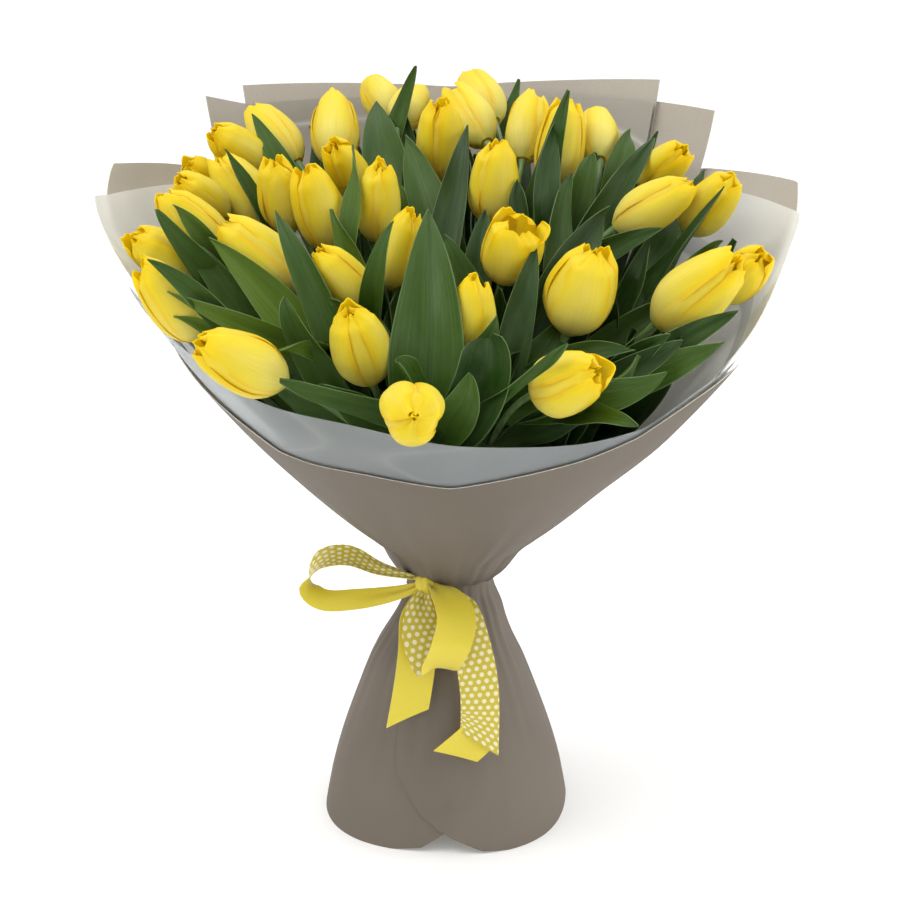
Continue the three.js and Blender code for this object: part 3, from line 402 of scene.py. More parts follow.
def assign_seats(feet):
    """Gives each bloom the place that lets its stem run there without crossing another."""
    seats = bundle_seats()
    swapped = True
    while swapped:
        swapped = False
        for i in range(len(seats)):
            for j in range(i + 1, len(seats)):
                apart = feet[i][0] - feet[j][0]
                gain = apart.x * (seats[i][0] - seats[j][0]) + apart.y * (seats[i][1] - seats[j][1])
                if gain < -1e-12:
                    seats[i], seats[j] = seats[j], seats[i]
                    swapped = True
    return seats


def stem_curves(seat, foot, axis, bend):
    """The lower and the upper curve of a stem, each by its four control points."""
    reach_up, reach_back, aside, ahead = (*bend, 0, 0)[:4]
    tie = Vector((seat[0], seat[1], TIE_HEIGHT))
    x, y = seat[0] * FOOT_SPREAD, seat[1] * FOOT_SPREAD
    cut = Vector((x * cos(FOOT_TURN) - y * sin(FOOT_TURN), x * sin(FOOT_TURN) + y * cos(FOOT_TURN), 0))
    end = foot - axis * STEM_GAP
    start = (end - tie) * Vector((0.6, 0.6, 1))
    detour = Vector((aside, ahead, 0))
    lower = (cut, cut.lerp(tie, 0.36), tie - start * 0.1, tie)
    back = axis * ((end - tie).length * reach_back)
    return lower, (tie, tie + start * reach_up + detour, end - back + detour, end)


def points_in(node):
    """The corners of a solid, ready to be looked up."""
    corners = [v.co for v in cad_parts[node].data.vertices]
    tree = kdtree.KDTree(len(corners))
    for k, corner in enumerate(corners):
        tree.insert(corner, k)
    tree.balance()
    return tree


def bend_of(seat, foot, axis):
    """Finds how the solid's stem is bent: by the bend whose rings of corners are in the solid."""
    bends = list(BENDS)
    for turn in range(24):
        reach = 0.001 * (6 + turn)
        x, y = reach * cos(turn * GOLDEN_TURN), reach * sin(turn * GOLDEN_TURN)
        bends += [(0.3, 0.24, x, y), (0.3, 0.1, x, y), (0.2, 0.4, x, y)]

    def fit(bend):
        upper = stem_curves(seat, foot, axis, bend)[1]
        found = 0
        for point in geometry.interpolate_bezier(*upper, 6)[1:5]:
            near = corners_of[seat[2]].find_range(point, STEM_RADIUS * 1.01)
            found += sum(1 for _, _, gap in near if gap > STEM_RADIUS * 0.99)
        return found

    return max(bends, key=fit)


corners_of = {group: points_in(f"leafy_stems_{group}") for group in range(1, 8)}
growths = {group: Growth() for group in range(1, 8)}
seats = assign_seats(bloom_feet)
stems = []
for (foot, axis), seat in zip(bloom_feet, seats):
    lower, upper = stem_curves(seat, foot, axis, bend_of(seat, foot, axis))
    low_points = geometry.interpolate_bezier(*lower, 3)
    high_points = geometry.interpolate_bezier(*upper, 6)
    stems.append({"path": low_points[:-1] + high_points, "group": seat[2], "leaves": 0})
    line = geometry.interpolate_bezier(*lower, 10)[:-1] + geometry.interpolate_bezier(*upper, 22)
    line[0].z = CUT_HEIGHT
    width = np.linspace(1.02, 0.84, len(line)) * STEM_RADIUS * 0.96
    width[-1] = STEM_RADIUS * 1.25
    growths[seat[2]].stalk(line, width, 12, tint=seat[0] * 90, kind=1)

# Leaves: long folded blades with waved edges, thick and waxy, that clasp the stems and stand up between the
# blooms. They grew in one piece with their stems.
LEAF_THICKNESS = 0.0009
LEAF_ROWS, LEAF_COLUMNS = 26, 11
FREE_ROW = 13
LEAF_FOLD = 0.46
LEAF_CROWDING = 0.014
BLADE_OUTLINE = [[0, 0.3], [0.15, 0.55], [0.35, 0.94], [0.5, 1], [0.65, 0.87], [0.8, 0.6], [0.92, 0.29],
                 [1, 0.02]]
CUPPED_OUTLINE = [[0, 0.4], [0.3, 0.9], [0.6, 1], [0.85, 0.9], [0.95, 0.66], [1, 0.3]]
INNER_LEAVES = 70
INNER_REACH = 0.19
RIM_HEIGHT = 0.32
# The inside of the wrap, which the leaves stay in: its radius at each height, from the hem to the rim
WAIST_RADIUS = 0.0223
WALL = [[0, 0.073], [0.055, 0.0645], [0.105, 0.0495], [0.14, 0.0305], [0.163, WAIST_RADIUS],
        [0.18, WAIST_RADIUS], [0.193, 0.044], [0.212, 0.069], [0.25, 0.107], [0.3, 0.148], [0.365, 0.19],
        [0.425, 0.216], [0.475, 0.228]]
HEM_FLARE = 0.013
# Where a side is drawn in: side (1 is the right), depth, and the heights where that comes and goes
DRAWN_IN = [(-1, 0.0105, 0.181, 0.205, 0.35, 0.42), (1, 0.005, 0.181, 0.205, 0.24, 0.29),
            (1, 0.007, -0.001, 0, 0.11, 0.15)]
# Each row gives a tip and a root in the picture, and then, in millimetres and degrees, the blade's width,
# rise, roll, bow and sway. By row, from 0, some widths are taken a little more or less than the rest
LEAF_WIDTHS = {2: 1.02, 7: 0.85, 8: 0.84, 9: 0.75, 10: 0.75, 11: 0.72, 13: 0.75, 19: 0.72}
LEAVES = [
    (415, 66, 404, 130, 18, 34), (376, 99, 385, 185, 36, 6), (429, 212, 433, 392, 43, 8),
    (406, 137, 440, 228, 34, 4), (469, 122, 439, 238, 24, 8), (252, 114, 282, 168, 18, 6),
    (174, 205, 222, 246, 18, 4), (189, 242, 258, 310, 30, 6), (210, 238, 322, 332, 34, 10),
    (147, 259, 226, 300, 22, 8), (166, 293, 272, 334, 20, 10), (174, 316, 244, 334, 18, 10, 25),
    (285, 297, 287, 350, 22, 6), (278, 350, 334, 333, 18, 6, -20), (293, 333, 338, 380, 24, 6),
    (258, 381, 366, 418, 30, 14, -15), (280, 383, 384, 402, 24, 22, -25), (274, 207, 330, 328, 24, 4),
    (330, 209, 358, 268, 20, 4), (354, 146, 362, 252, 20, 4), (393, 220, 359, 284, 16, 4),
    (423, 257, 402, 373, 19, 14, 30, 0, -24), (485, 210, 470, 280, 24, 2), (445, 235, 471, 284, 20, 2, 20),
    (401, 185, 408, 216, 14, 2), (517, 180, 511, 226, 18, 4), (559, 113, 524, 218, 20, 6),
    (499, 95, 506, 140, 16, 2), (573, 172, 536, 236, 22, 2), (593, 153, 572, 200, 26, 2),
    (632, 126, 603, 194, 28, 6), (652, 139, 590, 220, 24, 4), (676, 147, 640, 188, 20, 4, 20),
    (706, 168, 634, 286, 30, 8, 0, 16), (663, 228, 590, 247, 20, 4, -20), (611, 206, 540, 282, 32, 6),
    (723, 240, 676, 262, 14, 2), (738, 311, 676, 344, 20, 4), (684, 340, 640, 368, 20, 2),
    (670, 334, 630, 356, 18, 8), (643, 358, 600, 412, 26, 12, 35), (634, 347, 531, 349, 21, 24, -30, 12),
    (568, 344, 512, 398, 12, 20, 20), (488, 338, 500, 418, 36, 10), (536, 245, 510, 352, 24, 4),
    (498, 315, 484, 362, 18, 4), (469, 373, 472, 424, 28, 14), (637, 424, 578, 410, 20, 10, -20),
    (607, 398, 552, 420, 24, 8, 15), (690, 296, 606, 334, 26, 0), (724, 342, 640, 380, 24, 6),
    (566, 318, 528, 388, 30, 0), (196, 306, 268, 356, 26, 2), (318, 384, 390, 424, 26, 4),
    (668, 372, 598, 424, 28, 4), (158, 210, 194, 262, 22, 4), (397, 360, 424, 392, 16, 22, 40),
    (327, 299, 380, 318, 17, 8, -20),
]
# By their rows too: those that stand behind blooms and before them, how far some stand forward, those with a
# cupped blade, and how far forward or back from there each is tried
BEHIND_BLOOMS = {14, 21, 27, 32, 33, 35, 36, 39, 40, 41, 48, 49, 51}
BEFORE_BLOOMS = {0, 5, 6, 7, 9, 10, 11, 12, 13, 16, 17, 18, 19, 20, 42}
FORWARD = {2: 0.006, 12: 0.03, 13: 0.02, 16: 0.012, 46: 0.01, 56: 0.03, 57: 0.026}
CUPPED = {43, 56}
NEARS = [0, 0.005, -0.005, 0.01, -0.01, 0.015, -0.016, 0.02, -0.022, 0.025, -0.03, 0.03, 0.036, -0.04, 0.042,
         0.05, -0.055, 0.06, 0.07, -0.075]
COVER_STEPS = (0.006, 0.016, 0.03, 0.045, 0.065, 0.09)
LOOK_STEPS = (0.004, 0.01, 0.018, 0.026, 0.036, 0.048, 0.064, 0.08)
# At the back and the sides: bearing from the front, reach from the middle, height of the tip, and width
BACK_LEAVES = [(166, 0.192, 0.462, 0.03), (-168, 0.168, 0.452, 0.026), (150, 0.16, 0.462, 0.028),
               (-150, 0.176, 0.44, 0.03), (128, 0.176, 0.44, 0.026), (-126, 0.182, 0.43, 0.026),
               (108, 0.186, 0.415, 0.026), (-106, 0.186, 0.412, 0.026)]
# How the bunch is looked at, 1.4 m off and from 20 degrees above: for the leaves, and the camera at the end
VIEW_ELEVATION = radians(20)
VIEW_DISTANCE = 1.4
VIEW_AIM = Vector((0, 0, 0.253))
PIXELS_AT_UNIT_DISTANCE = VIEW_DISTANCE / 0.00065
MIDDLE_PIXEL = 450
AHEAD = Vector((0, cos(VIEW_ELEVATION), -sin(VIEW_ELEVATION)))
ABOVE = Vector((0, sin(VIEW_ELEVATION), cos(VIEW_ELEVATION)))
EYE = VIEW_AIM - AHEAD * VIEW_DISTANCE
DOME_REACH = 0.26


def at_depth(u, v, y):
    """Places a pixel of the picture at a given distance to the back."""
    line = AHEAD + Vector((u - MIDDLE_PIXEL, 0, 0)) / PIXELS_AT_UNIT_DISTANCE
    line += ABOVE * (MIDDLE_PIXEL - v) / PIXELS_AT_UNIT_DISTANCE
    return EYE + line * ((y - EYE.y) / line.y)


def dome_height(x, y):
    """How high the dome is that the blooms' middles lie on."""
    return 0.415 + 0.35 * y - 0.8 * y ** 2 - 0.3 * x ** 2


def on_dome(u, v, rise):
    """Places a pixel on the dome of the blooms' middles, or a rise above it."""
    near, far = -DOME_REACH, DOME_REACH
    for _ in range(40):
        middle = (near + far) / 2
        point = at_depth(u, v, middle)
        if point.z > dome_height(point.x, point.y) + rise:
            near = middle
        else:
            far = middle
    return at_depth(u, v, near)


def front_leaf(tip_u, tip_v, root_u, root_v, width, rise, roll=0, bow=0, sway=0):
    """A leaf seen in the picture: its tip and root, the way its face looks, its width, roll, bow and sway."""
    tip = on_dome(tip_u, tip_v, rise / 1000)
    root = on_dome(root_u, root_v, -0.01)
    face = (-AHEAD).lerp(Vector((tip.x, tip.y, 0)).normalized(), 0.25)
    return tip, root, face, width / 1000, roll, bow / 1000, sway / 1000


def back_leaf(bearing, reach, height, width):
    """A leaf that isn't seen there, in the same terms."""
    outward = Vector((sin(radians(bearing)), -cos(radians(bearing)), 0))
    tip = outward * reach + Vector((0, 0, height))
    root = outward * (reach * 0.72) + Vector((0, 0, height - 0.09))
    return tip, root, (Vector((0, 0, 0.5)) - outward).normalized(), width, 0, 0, 0


def leaf_seat(tip, root):
    """The stem that a leaf grows from, and the point on it: near, and not crowded with leaves."""
    below = root - (tip - root).normalized() * 0.034 - Vector((0, 0, 0.026))
    places = [(point, stem) for stem in stems for point in stem["path"][3:6]]
    return min(places, key=lambda place: (place[0] - below).length + LEAF_CROWDING * place[1]["leaves"])


def leaf_lay(tip, root, face, roll, bow, sway):
    """A leaf's curve by four control points, the way its face looks, and its stem."""
    seat, stem = leaf_seat(tip, root)
    belly = root.lerp(tip, 0.42) + face * bow + Vector((sway, 0, 0))
    curve = (seat, seat.lerp(root, 0.55) + Vector((sway / 2, 0, 0.006)), belly, tip)
    return curve, Quaternion((tip - root).normalized(), radians(roll)) @ face, stem


def blade_ways(curve, face, t):
    """A blade's middle, way along, the way that its face looks and way across, at a share of its length."""
    a, b, c, d = curve
    middle = a * (1 - t) ** 3 + b * 3 * t * (1 - t) ** 2 + c * 3 * t * t * (1 - t) + d * t ** 3
    along = ((b - a) * (1 - t) ** 2 + (c - b) * 2 * t * (1 - t) + (d - c) * t * t).normalized()
    normal = (face - along * face.dot(along)).normalized()
    return middle, along, normal, along.cross(normal)


def blade_grid(curve, face, width, rng, is_cupped=False):
    """Bends a blade along its curve: folded at the rib, waved at its edges and turned back at its tip."""
    wave = rng.uniform(0.0008, 0.003)
    periods, phase, twist = rng.uniform(1.4, 2.6), rng.uniform(0, 6), rng.uniform(-0.8, 0.8)
    curl = width * rng.uniform(-0.18, 0.04)
    side = np.linspace(-1, 1, LEAF_COLUMNS)
    grid = np.empty((LEAF_ROWS, LEAF_COLUMNS, 3))
    for row, share in enumerate(np.linspace(0, 1, LEAF_ROWS)):
        middle, along, normal, across = blade_ways(curve, face, share)
        turn = Quaternion(along, twist * (share - 0.45))
        normal, across = turn @ normal, turn @ across
        half = width / 2 * smooth_along(CUPPED_OUTLINE if is_cupped else BLADE_OUTLINE, share)
        fold = LEAF_FOLD * half * (0.35 * np.abs(side) + 0.65 * side ** 2) * (2 if is_cupped else 1)
        ripple = wave * np.sin(2 * pi * periods * share + phase + 1.3 * side) * side ** 2
        ripple *= smoothstep(share, 0.15, 0.4)
        back = curl * smoothstep(share, 0.7, 1) ** 2
        grid[row] = (np.array(middle) + np.outer(side * half, across)
                     + np.outer(fold + ripple + back, normal))
    return grid


def leaf_finish():
    """Waxy dark green with a blue bloom and lighter lengthwise veins, painted shade down its folded middle
    and a painted highlight along its thin edge.
    """
    finish = Finish("leaf")
    across, along = finish.place()
    veins = finish.grain((70, 2.2), 1.0, seed=finish.tint())
    clouds = finish.grain((2.5, 3), 1.6, seed=finish.tint())
    # Each leaf's green comes from its tint and differs from leaf to leaf; its darkest end, given to the
    # leaves deep in the bunch, is painted shade, and its lightest end, reached by the leaves on the left, is
    # painted light
    deep = finish.ramp(finish.tint(), (0, (0.008, 0.03, 0.003)), (0.35, (0.026, 0.07, 0.006)),
                       (0.7, (0.055, 0.12, 0.008)), (1, (0.12, 0.21, 0.012)))
    waxed = finish.ramp(clouds, (0.4, 0), (0.75, 0.34))
    colour = finish.blend(waxed, deep, (0.12, 0.19, 0.075, 1))
    stripe = finish.ramp(veins, (0.35, (0.72, 0.76, 0.72)), (0.65, (1.12, 1.1, 1.06)))
    colour = finish.blend(1.0, colour, stripe, "MULTIPLY")
    off_middle = finish.off_middle(across)
    # A darker line down the middle, where the blade is folded: painted shade in the crease
    rib = finish.ramp(off_middle, (0, 0.35), (0.03, 0))
    colour = finish.blend(rib, colour, (0.02, 0.05, 0.015, 1))
    # A paler line along the thin edge: a painted highlight
    edge = finish.ramp(off_middle, (0.48, 0), (0.5, 0.5))
    colour = finish.blend(edge, colour, (0.24, 0.36, 0.14, 1))
    foot = finish.ramp(along, (0, 0.6), (0.25, 0))
    colour = finish.blend(foot, colour, (0.16, 0.26, 0.08, 1))
    finish.surface(colour, 0.4, 0.28)
    finish.bump(veins, 0.0003)
    finish.let_through(0.16, finish.blend(0.5, colour, (0.12, 0.3, 0.02, 1)))
    return finish.material


def stem_finish():
    """Smooth pale green stalk, a little mottled."""
    finish = Finish("stem")
    mottle = finish.grain((3, 30), 1.0, seed=finish.tint())
    colour = finish.ramp(mottle, (0.3, (0.09, 0.17, 0.05)), (0.7, (0.17, 0.27, 0.09)))
    finish.surface(colour, 0.4)
    finish.bump(mottle, 0.0002)
    return finish.material


def in_blooms(points):
    """Tells which points lie inside any of the blooms."""
    found = np.zeros(len(points), bool)
    for (foot, axis), (length, radius) in zip(bloom_feet, bloom_sizes):
        off = points - np.array(foot)
        share = off @ np.array(axis) / length
        away = np.linalg.norm(off - np.outer(share * length, axis), axis=1)
        reach = radius * smooth_along(BLOOM_OUTLINE, share) + 0.001
        found |= (share > -0.03) & (share < 1.03) & (away < reach)
    return found


def brought_forward(curve, near):
    """Moves a leaf's free part along the line of sight, so that it keeps its place in the picture."""
    towards = (EYE - curve[3]).normalized() * near
    return curve[0], curve[1] + towards * 0.5, curve[2] + towards, curve[3] + towards


def wall_reach(b, height):
    """The wrap's radius at bearings (in radians) and heights."""
    corners = np.sin(2 * b) ** 2 * 0.75 + np.sin(b) ** 2 * 0.4
    reach = smooth_along(WALL, height) + HEM_FLARE * corners * (1 - smoothstep(height, 0, 0.09))
    for side, depth, start, full, until, end in DRAWN_IN:
        share = smoothstep(height, start, full) * (1 - smoothstep(height, until, end))
        reach = reach - depth * share * np.maximum(0, side * np.sin(b))
    return reach


def past_wrap(points):
    """Weighs the points that stick out through the wrap, and lightly those that lean out above its rim."""
    x, y, z = points.T
    out = np.hypot(x, y) - wall_reach(np.arctan2(x, -y), z)
    return np.where(z < RIM_HEIGHT, 3 * (out > -0.003), 0.25 * (out > 0.008))


def clear_blade(curve, face, width, rng, index):
    """Bends a blade where blooms cut and hide it least, as near to its own place as can be."""
    state = rng.bit_generator.state
    best = None
    behind, before = index in BEHIND_BLOOMS, index in BEFORE_BLOOMS
    cover_cost = 3 if behind else 0 if before else 0.5
    hidden_cost = 0 if behind else 2.5 if before else 1.2
    cover_steps = COVER_STEPS if behind else COVER_STEPS[:4]
    for near in NEARS:
        rng.bit_generator.state = state
        moved = brought_forward(curve, near + FORWARD.get(index, 0))
        grid = blade_grid(moved, face, width, rng, index in CUPPED)
        cut = in_blooms(grid[8::2].reshape(-1, 3)).sum() / 2
        low = grid[4:25 if behind else 13:2, ::2].reshape(-1, 3)
        away = unit(low - np.array(EYE))
        covers = in_blooms(np.concatenate([low + away * far for far in cover_steps])).sum()
        middle = grid[FREE_ROW::2, LEAF_COLUMNS // 2]
        towards = unit(np.array(EYE) - middle)
        hidden = in_blooms(np.concatenate([middle + towards * far for far in LOOK_STEPS])).sum()
        out = past_wrap(grid[4:, ::2].reshape(-1, 3)).sum()
        aside = 90 * abs(near) if near > 0 or behind else 220 * abs(near)
        cost = 1.5 * cut + hidden_cost * hidden + cover_cost * covers + out + aside
        if best is None or cost < best[0]:
            best = (cost, grid)
    return best[1]


rng = np.random.default_rng(2)
leaves = [front_leaf(*row) for row in LEAVES] + [back_leaf(*row) for row in BACK_LEAVES]
for index, (tip, root, face, width, *form) in enumerate(leaves):
    curve, face, stem = leaf_lay(tip, root, face, *form)
    stem["leaves"] += 1
    width *= LEAF_WIDTHS.get(index, 0.9)
    grid = clear_blade(curve, face, width, rng, index)
    # Leaves on the left get lighter, yellower greens: painted light, as if lit from the left
    painted_left_light = 0.3 if curve[3].x < -0.04 else 0
    thin = thinned(LEAF_THICKNESS, LEAF_COLUMNS)
    growths[stem["group"]].sheet(grid, thin, tint=rng.uniform(0.12, 0.78) + painted_left_light)

# Lower leaves fill the room between the blooms
laid = 0
while laid < INNER_LEAVES:
    bearing, reach = rng.uniform(0, 2 * pi), INNER_REACH * sqrt(rng.uniform(0.02, 1))
    x, y = reach * sin(bearing), -reach * cos(bearing)
    height = dome_height(x, y) - rng.uniform(0.004, 0.022)
    tip = Vector((x, y, height))
    root = Vector((0.66 * x, 0.66 * y, height - 0.075))
    seat, stem = leaf_seat(tip, root)
    outward = Vector((x, y, 0)).normalized()
    face = Quaternion((0, 0, 1), rng.uniform(-0.7, 0.7)) @ (outward * 0.8 - AHEAD * 0.6 + Vector((0, 0, 0.4)))
    curve = (seat, seat.lerp(root, 0.55), root.lerp(tip, 0.42) + outward * rng.uniform(-0.004, 0.014), tip)
    grid = blade_grid(curve, face, rng.uniform(0.022, 0.034), rng)
    points = grid[6::2, ::2].reshape(-1, 3)
    if in_blooms(points).sum() <= 2 and past_wrap(points).max() < 1:
        # These leaves, deep in the bunch, get only the darkest greens: painted shade
        growths[stem["group"]].sheet(grid, LEAF_THICKNESS * 0.8, tint=rng.uniform(0, 0.35))
        laid += 1

leaf_green, stem_green = leaf_finish(), stem_finish()
for group, growth in growths.items():
    growth.make(f"greens_{group}", [leaf_green, stem_green], "green", f"leafy_stems_{group}")

# The wrap: one shape from the flared hem over the waist to the wide rim, shared by sheets of film and paper.
# They lie on each other at the waist and stand apart towards the rim, and each was cut straight from a roll.
WAIST_OVERHANG = 0.011
OVERHANG_HEIGHT = 0.1865
OVERHANG_SPREAD = 0.0062
GATHER_HEIGHT = 0.168
GATHER_REACH = 0.03
SHEET_THICKNESS = 0.0006
SHEET_PITCH = 0.00115
SHEET_SPLAY = 0.0032
BELOW_TIE = 0.158
GRID_DEGREES = 1.6
GRID_RISE = 0.0055


def wall_points(bearing, height, layer):
    """The wrap's surface at bearings and heights, moved out to a layer."""
    b = np.radians(bearing)
    step = 0.002
    low, high = np.clip(height - step, 0, None), height + step
    slope = (smooth_along(WALL, high) - smooth_along(WALL, low)) / (high - low)
    steep = np.sqrt(1 + slope ** 2)
    splay = smoothstep(height, 0.2, 0.42)
    waves = np.sin(7 * b + 0.6) * 0.6 + np.sin(11 * b + 2) * 0.4
    skirt = smoothstep(0.14 - height, 0, 0.14) * np.sin(4 * b + 1.1) * 0.003
    from_tie = np.abs(height - GATHER_HEIGHT) / GATHER_REACH
    gathers = np.sin(23 * b + 1) * 0.6 + np.sin(37 * b + 2 * np.sin(3 * b)) * 0.4
    depth = np.where(height > GATHER_HEIGHT, 0.0005, 0.0009)
    gathered = depth * from_tie * np.exp(1 - from_tie) * gathers
    pitch = SHEET_PITCH + splay * (SHEET_SPLAY - SHEET_PITCH)
    out = layer * pitch + splay * 0.003 * waves + skirt + gathered
    reach = wall_reach(b, height) + out / steep
    hang = WAIST_OVERHANG * np.exp(-(((height - OVERHANG_HEIGHT) / OVERHANG_SPREAD) ** 2))
    z = np.maximum(SHEET_THICKNESS / 2, height - hang - out * slope / steep * (height > 0.02))
    return np.stack([reach * np.sin(b), -reach * np.cos(b), z], -1)


def edge_along(pairs, where, is_round):
    """Reads an edge's heights at bearings, with straight cuts or as one round curve."""
    return smooth_along(pairs, where) if is_round else np.interp(where, *np.array(pairs, float).T)


def wrap_sheet(node, layer, slot, finishes, top, bottom=None, is_round=False):
    """Makes one sheet of the wrap, from its top edge down to just below the binding or to its own edge."""
    first, last = top[0][0], top[-1][0]
    bottom = bottom or [[first, BELOW_TIE], [last, BELOW_TIE]]
    columns = int((last - first) / GRID_DEGREES) + 2
    bearing = np.linspace(first, last, columns)
    upper, lower = edge_along(top, bearing, is_round), edge_along(bottom, bearing, is_round)
    rows = int(np.max(upper - lower) / GRID_RISE) + 2
    share = np.linspace(0, 1, rows)[:, None]
    height = lower + (upper - lower) * share
    turned = np.broadcast_to(bearing, height.shape)
    growth = Growth()
    grid = wall_points(turned, height, layer)
    reach = smooth_along(WALL, height)
    places = np.stack([np.radians(turned) * reach.mean(0), height], 2)
    growth.sheet(grid, SHEET_THICKNESS, kinds=(0, len(finishes) // 2, len(finishes) - 1), places=places)
    growth.make(node + "_sheet", finishes, slot, node)


# Frosted film: four sheets of milky translucent plastic, cut from a roll and laid inside the paper. The low
# front one lies over the left and right ones, and the tall one stands behind the blooms.
MILKY = ((0.88, 0.88, 0.86), (0.95, 0.95, 0.93), 0.35)
# Where the painted fold starts, across and up the right sheet, and how steeply it rises: the fold is only
# painted on, as painted shade under a painted highlight
FOLD_START = (0.12, 0.343)
FOLD_RISE = 0.2


def film_finish(name, darker, paler, clear, has_painted_fold=False):
    """Milky film: it lets light through blurred, and has soft creases with painted shade in their hollows,
    fine ridges and maybe a painted fold.
    """
    finish = Finish(name)
    creases = finish.clouds(13.0, 3.0)
    folds = finish.grain((24, 5), 1.0, detail=2.0)
    creases = finish.sum("ADD", finish.times(creases, 0.5), finish.times(folds, 0.5))
    # The film's colour follows its creases, darker in their hollows and paler on their crests: painted shade
    # and painted light
    colour = finish.ramp(creases, (0.38, darker), (0.6, paler))
    off_ridge = finish.off_middle(finish.grain((8, 14), 1.0, detail=0.0))
    ridge = finish.ramp(off_ridge, (0, 1), (0.006, 0.4), (0.02, 0))
    colour = finish.blend(finish.times(ridge, 0.6), colour, (0.97, 0.97, 0.96, 1))
    if has_painted_fold:
        across, along = finish.place()
        from_start = finish.sum("SUBTRACT", across, FOLD_START[0])
        fold = finish.sum("MULTIPLY_ADD", from_start, FOLD_RISE, FOLD_START[1])
        above = finish.sum("MULTIPLY_ADD", finish.sum("SUBTRACT", along, fold), 30.0, 0.5)
        # Below the fold line a darker band, where the film lies doubled, and along the line a bright strip:
        # painted shade and a painted highlight
        shade = finish.ramp(above, (0.08, 1), (0.14, (0.7, 0.72, 0.74)), (0.46, (0.82, 0.83, 0.84)),
                            (0.49, 1.05), (0.53, 1.05), (0.6, 1))
        colour = finish.blend(1.0, colour, shade, "MULTIPLY")
    finish.surface(colour, 0.36, 0.35)
    finish.shader.inputs["IOR"].default_value = 1.06
    finish.shader.inputs["Transmission Weight"].default_value = clear
    finish.bump(creases, 0.006)
    return finish.material


wrap_sheet("film_back", 0, "film", [film_finish("film_back", (0.5, 0.47, 0.42), (0.58, 0.55, 0.5), 0.25)],
           [[140, 0.447], [180, 0.441], [219, 0.446], [228, 0.456]])
milky = film_finish("film_left", *MILKY)
folded = film_finish("film_right", *MILKY, has_painted_fold=True)
wrap_sheet("film_left", 2, "film", [milky],
           [[-141, 0.394], [-120, 0.406], [-99, 0.417], [-91, 0.423], [-78, 0.398], [-61, 0.366], [-44, 0.3]])
wrap_sheet("film_right", 3, "film", [folded],
           [[54, 0.3], [64, 0.352], [78, 0.382], [91, 0.412], [102, 0.408], [128, 0.402]])
# The front sheet is a darker, bluer grey than the side sheets: painted shade for its low band, which faces
# down to the front
wrap_sheet("film_front", 4, "film", [film_finish("film_front", (0.7, 0.73, 0.74), (0.78, 0.81, 0.82), 0.8)],
           [[-78, 0.38], [-61, 0.364], [-44, 0.345], [-29, 0.336], [0, 0.325], [29, 0.315], [43, 0.314],
            [54, 0.335], [64, 0.35]], is_round=True)


# Taupe paper: five sheets of smooth matt wrapping paper with pale cut edges. Two stand up behind, one on
# each side, and the left and the front one run down past the waist, cross in front and flare as the skirt.
def paper_finish(name, darker, paler):
    """Taupe paper: matt, faintly clouded and fibrous."""
    finish = Finish(name)
    colour = finish.ramp(finish.clouds(9.0, 4.0), (0.3, darker), (0.7, paler))
    fibres = finish.clouds(900.0, 2.0)
    speckle = finish.ramp(fibres, (0.35, 0.93), (0.65, 1.05))
    finish.surface(finish.blend(1.0, colour, speckle, "MULTIPLY"), 0.55, 0.35)
    finish.bump(fibres, 0.00008)
    finish.let_through(0.4, (0.68, 0.63, 0.56, 1))
    return finish.material


def paper_edge_finish():
    """The pale core that a cut edge of the paper shows."""
    finish = Finish("paper_edge")
    fibres = finish.clouds(700.0, 2.0)
    finish.surface(finish.ramp(fibres, (0.3, (0.5, 0.46, 0.4)), (0.7, (0.66, 0.62, 0.55))), 0.7)
    return finish.material


# The paper's outer face is much darker than its inner face: partly a paler inner side of the paper, partly
# painted shade on the outer face, which faces down and out, and painted light on the inner face
paper = [paper_finish("paper", (0.175, 0.147, 0.122), (0.22, 0.187, 0.157)),
         paper_finish("paper_inside", (0.6, 0.56, 0.5), (0.68, 0.64, 0.58)), paper_edge_finish()]
wrap_sheet("paper_back", 1, "paper", paper, [[140, 0.463], [180, 0.449], [219, 0.459]])
wrap_sheet("paper_back_right", 2, "paper", paper, [[128, 0.449], [166, 0.447]])
wrap_sheet("paper_left", 3, "paper", paper,
           [[-194, 0.18], [-165, 0.3], [-141, 0.402], [-120, 0.42], [-106, 0.431], [-99, 0.412],
            [-92, 0.382], [-78, 0.345], [-61, 0.28], [-14, 0.2], [15, 0.18]],
           [[-194, 0], [-29, 0], [-14, 0.003], [0, 0.016], [15, 0.04]])
wrap_sheet("paper_right", 4, "paper", paper,
           [[78, 0.34], [91, 0.388], [102, 0.424], [128, 0.413], [140, 0.402]])
wrap_sheet("paper_front", 5, "paper", paper,
           [[-109, 0.322], [-92, 0.342], [-78, 0.338], [-61, 0.316], [-44, 0.297], [-29, 0.294], [0, 0.289],
            [29, 0.302], [43, 0.31], [54, 0.332], [64, 0.347], [78, 0.318], [102, 0.262], [128, 0.222],
            [166, 0.186], [195, 0.18]],
           [[-109, BELOW_TIE], [-44, BELOW_TIE], [-29, 0.052], [-14, 0.025], [0, 0.012], [15, 0.002],
            [29, 0], [195, 0]])

# Binding string: two plies of soft twine, wound three times round the stems where they are pressed together,
# under the wrap. The turns lie on each other between the stems and the film.
STRING_RADIUS = 0.00042
STRING_TURNS = 3
STRING_CLIMB = 0.0016
PLY_TWIST = 26


def twine_finish():
    """Straw-coloured twine, rough with loose fibres."""
    finish = Finish("twine")
    strands = finish.grain((4, 300), 1.0)
    colour = finish.ramp(strands, (0.3, (0.4, 0.3, 0.16)), (0.7, (0.62, 0.5, 0.32)))
    finish.surface(colour, 0.85)
    finish.bump(strands, 0.0002)
    return finish.material


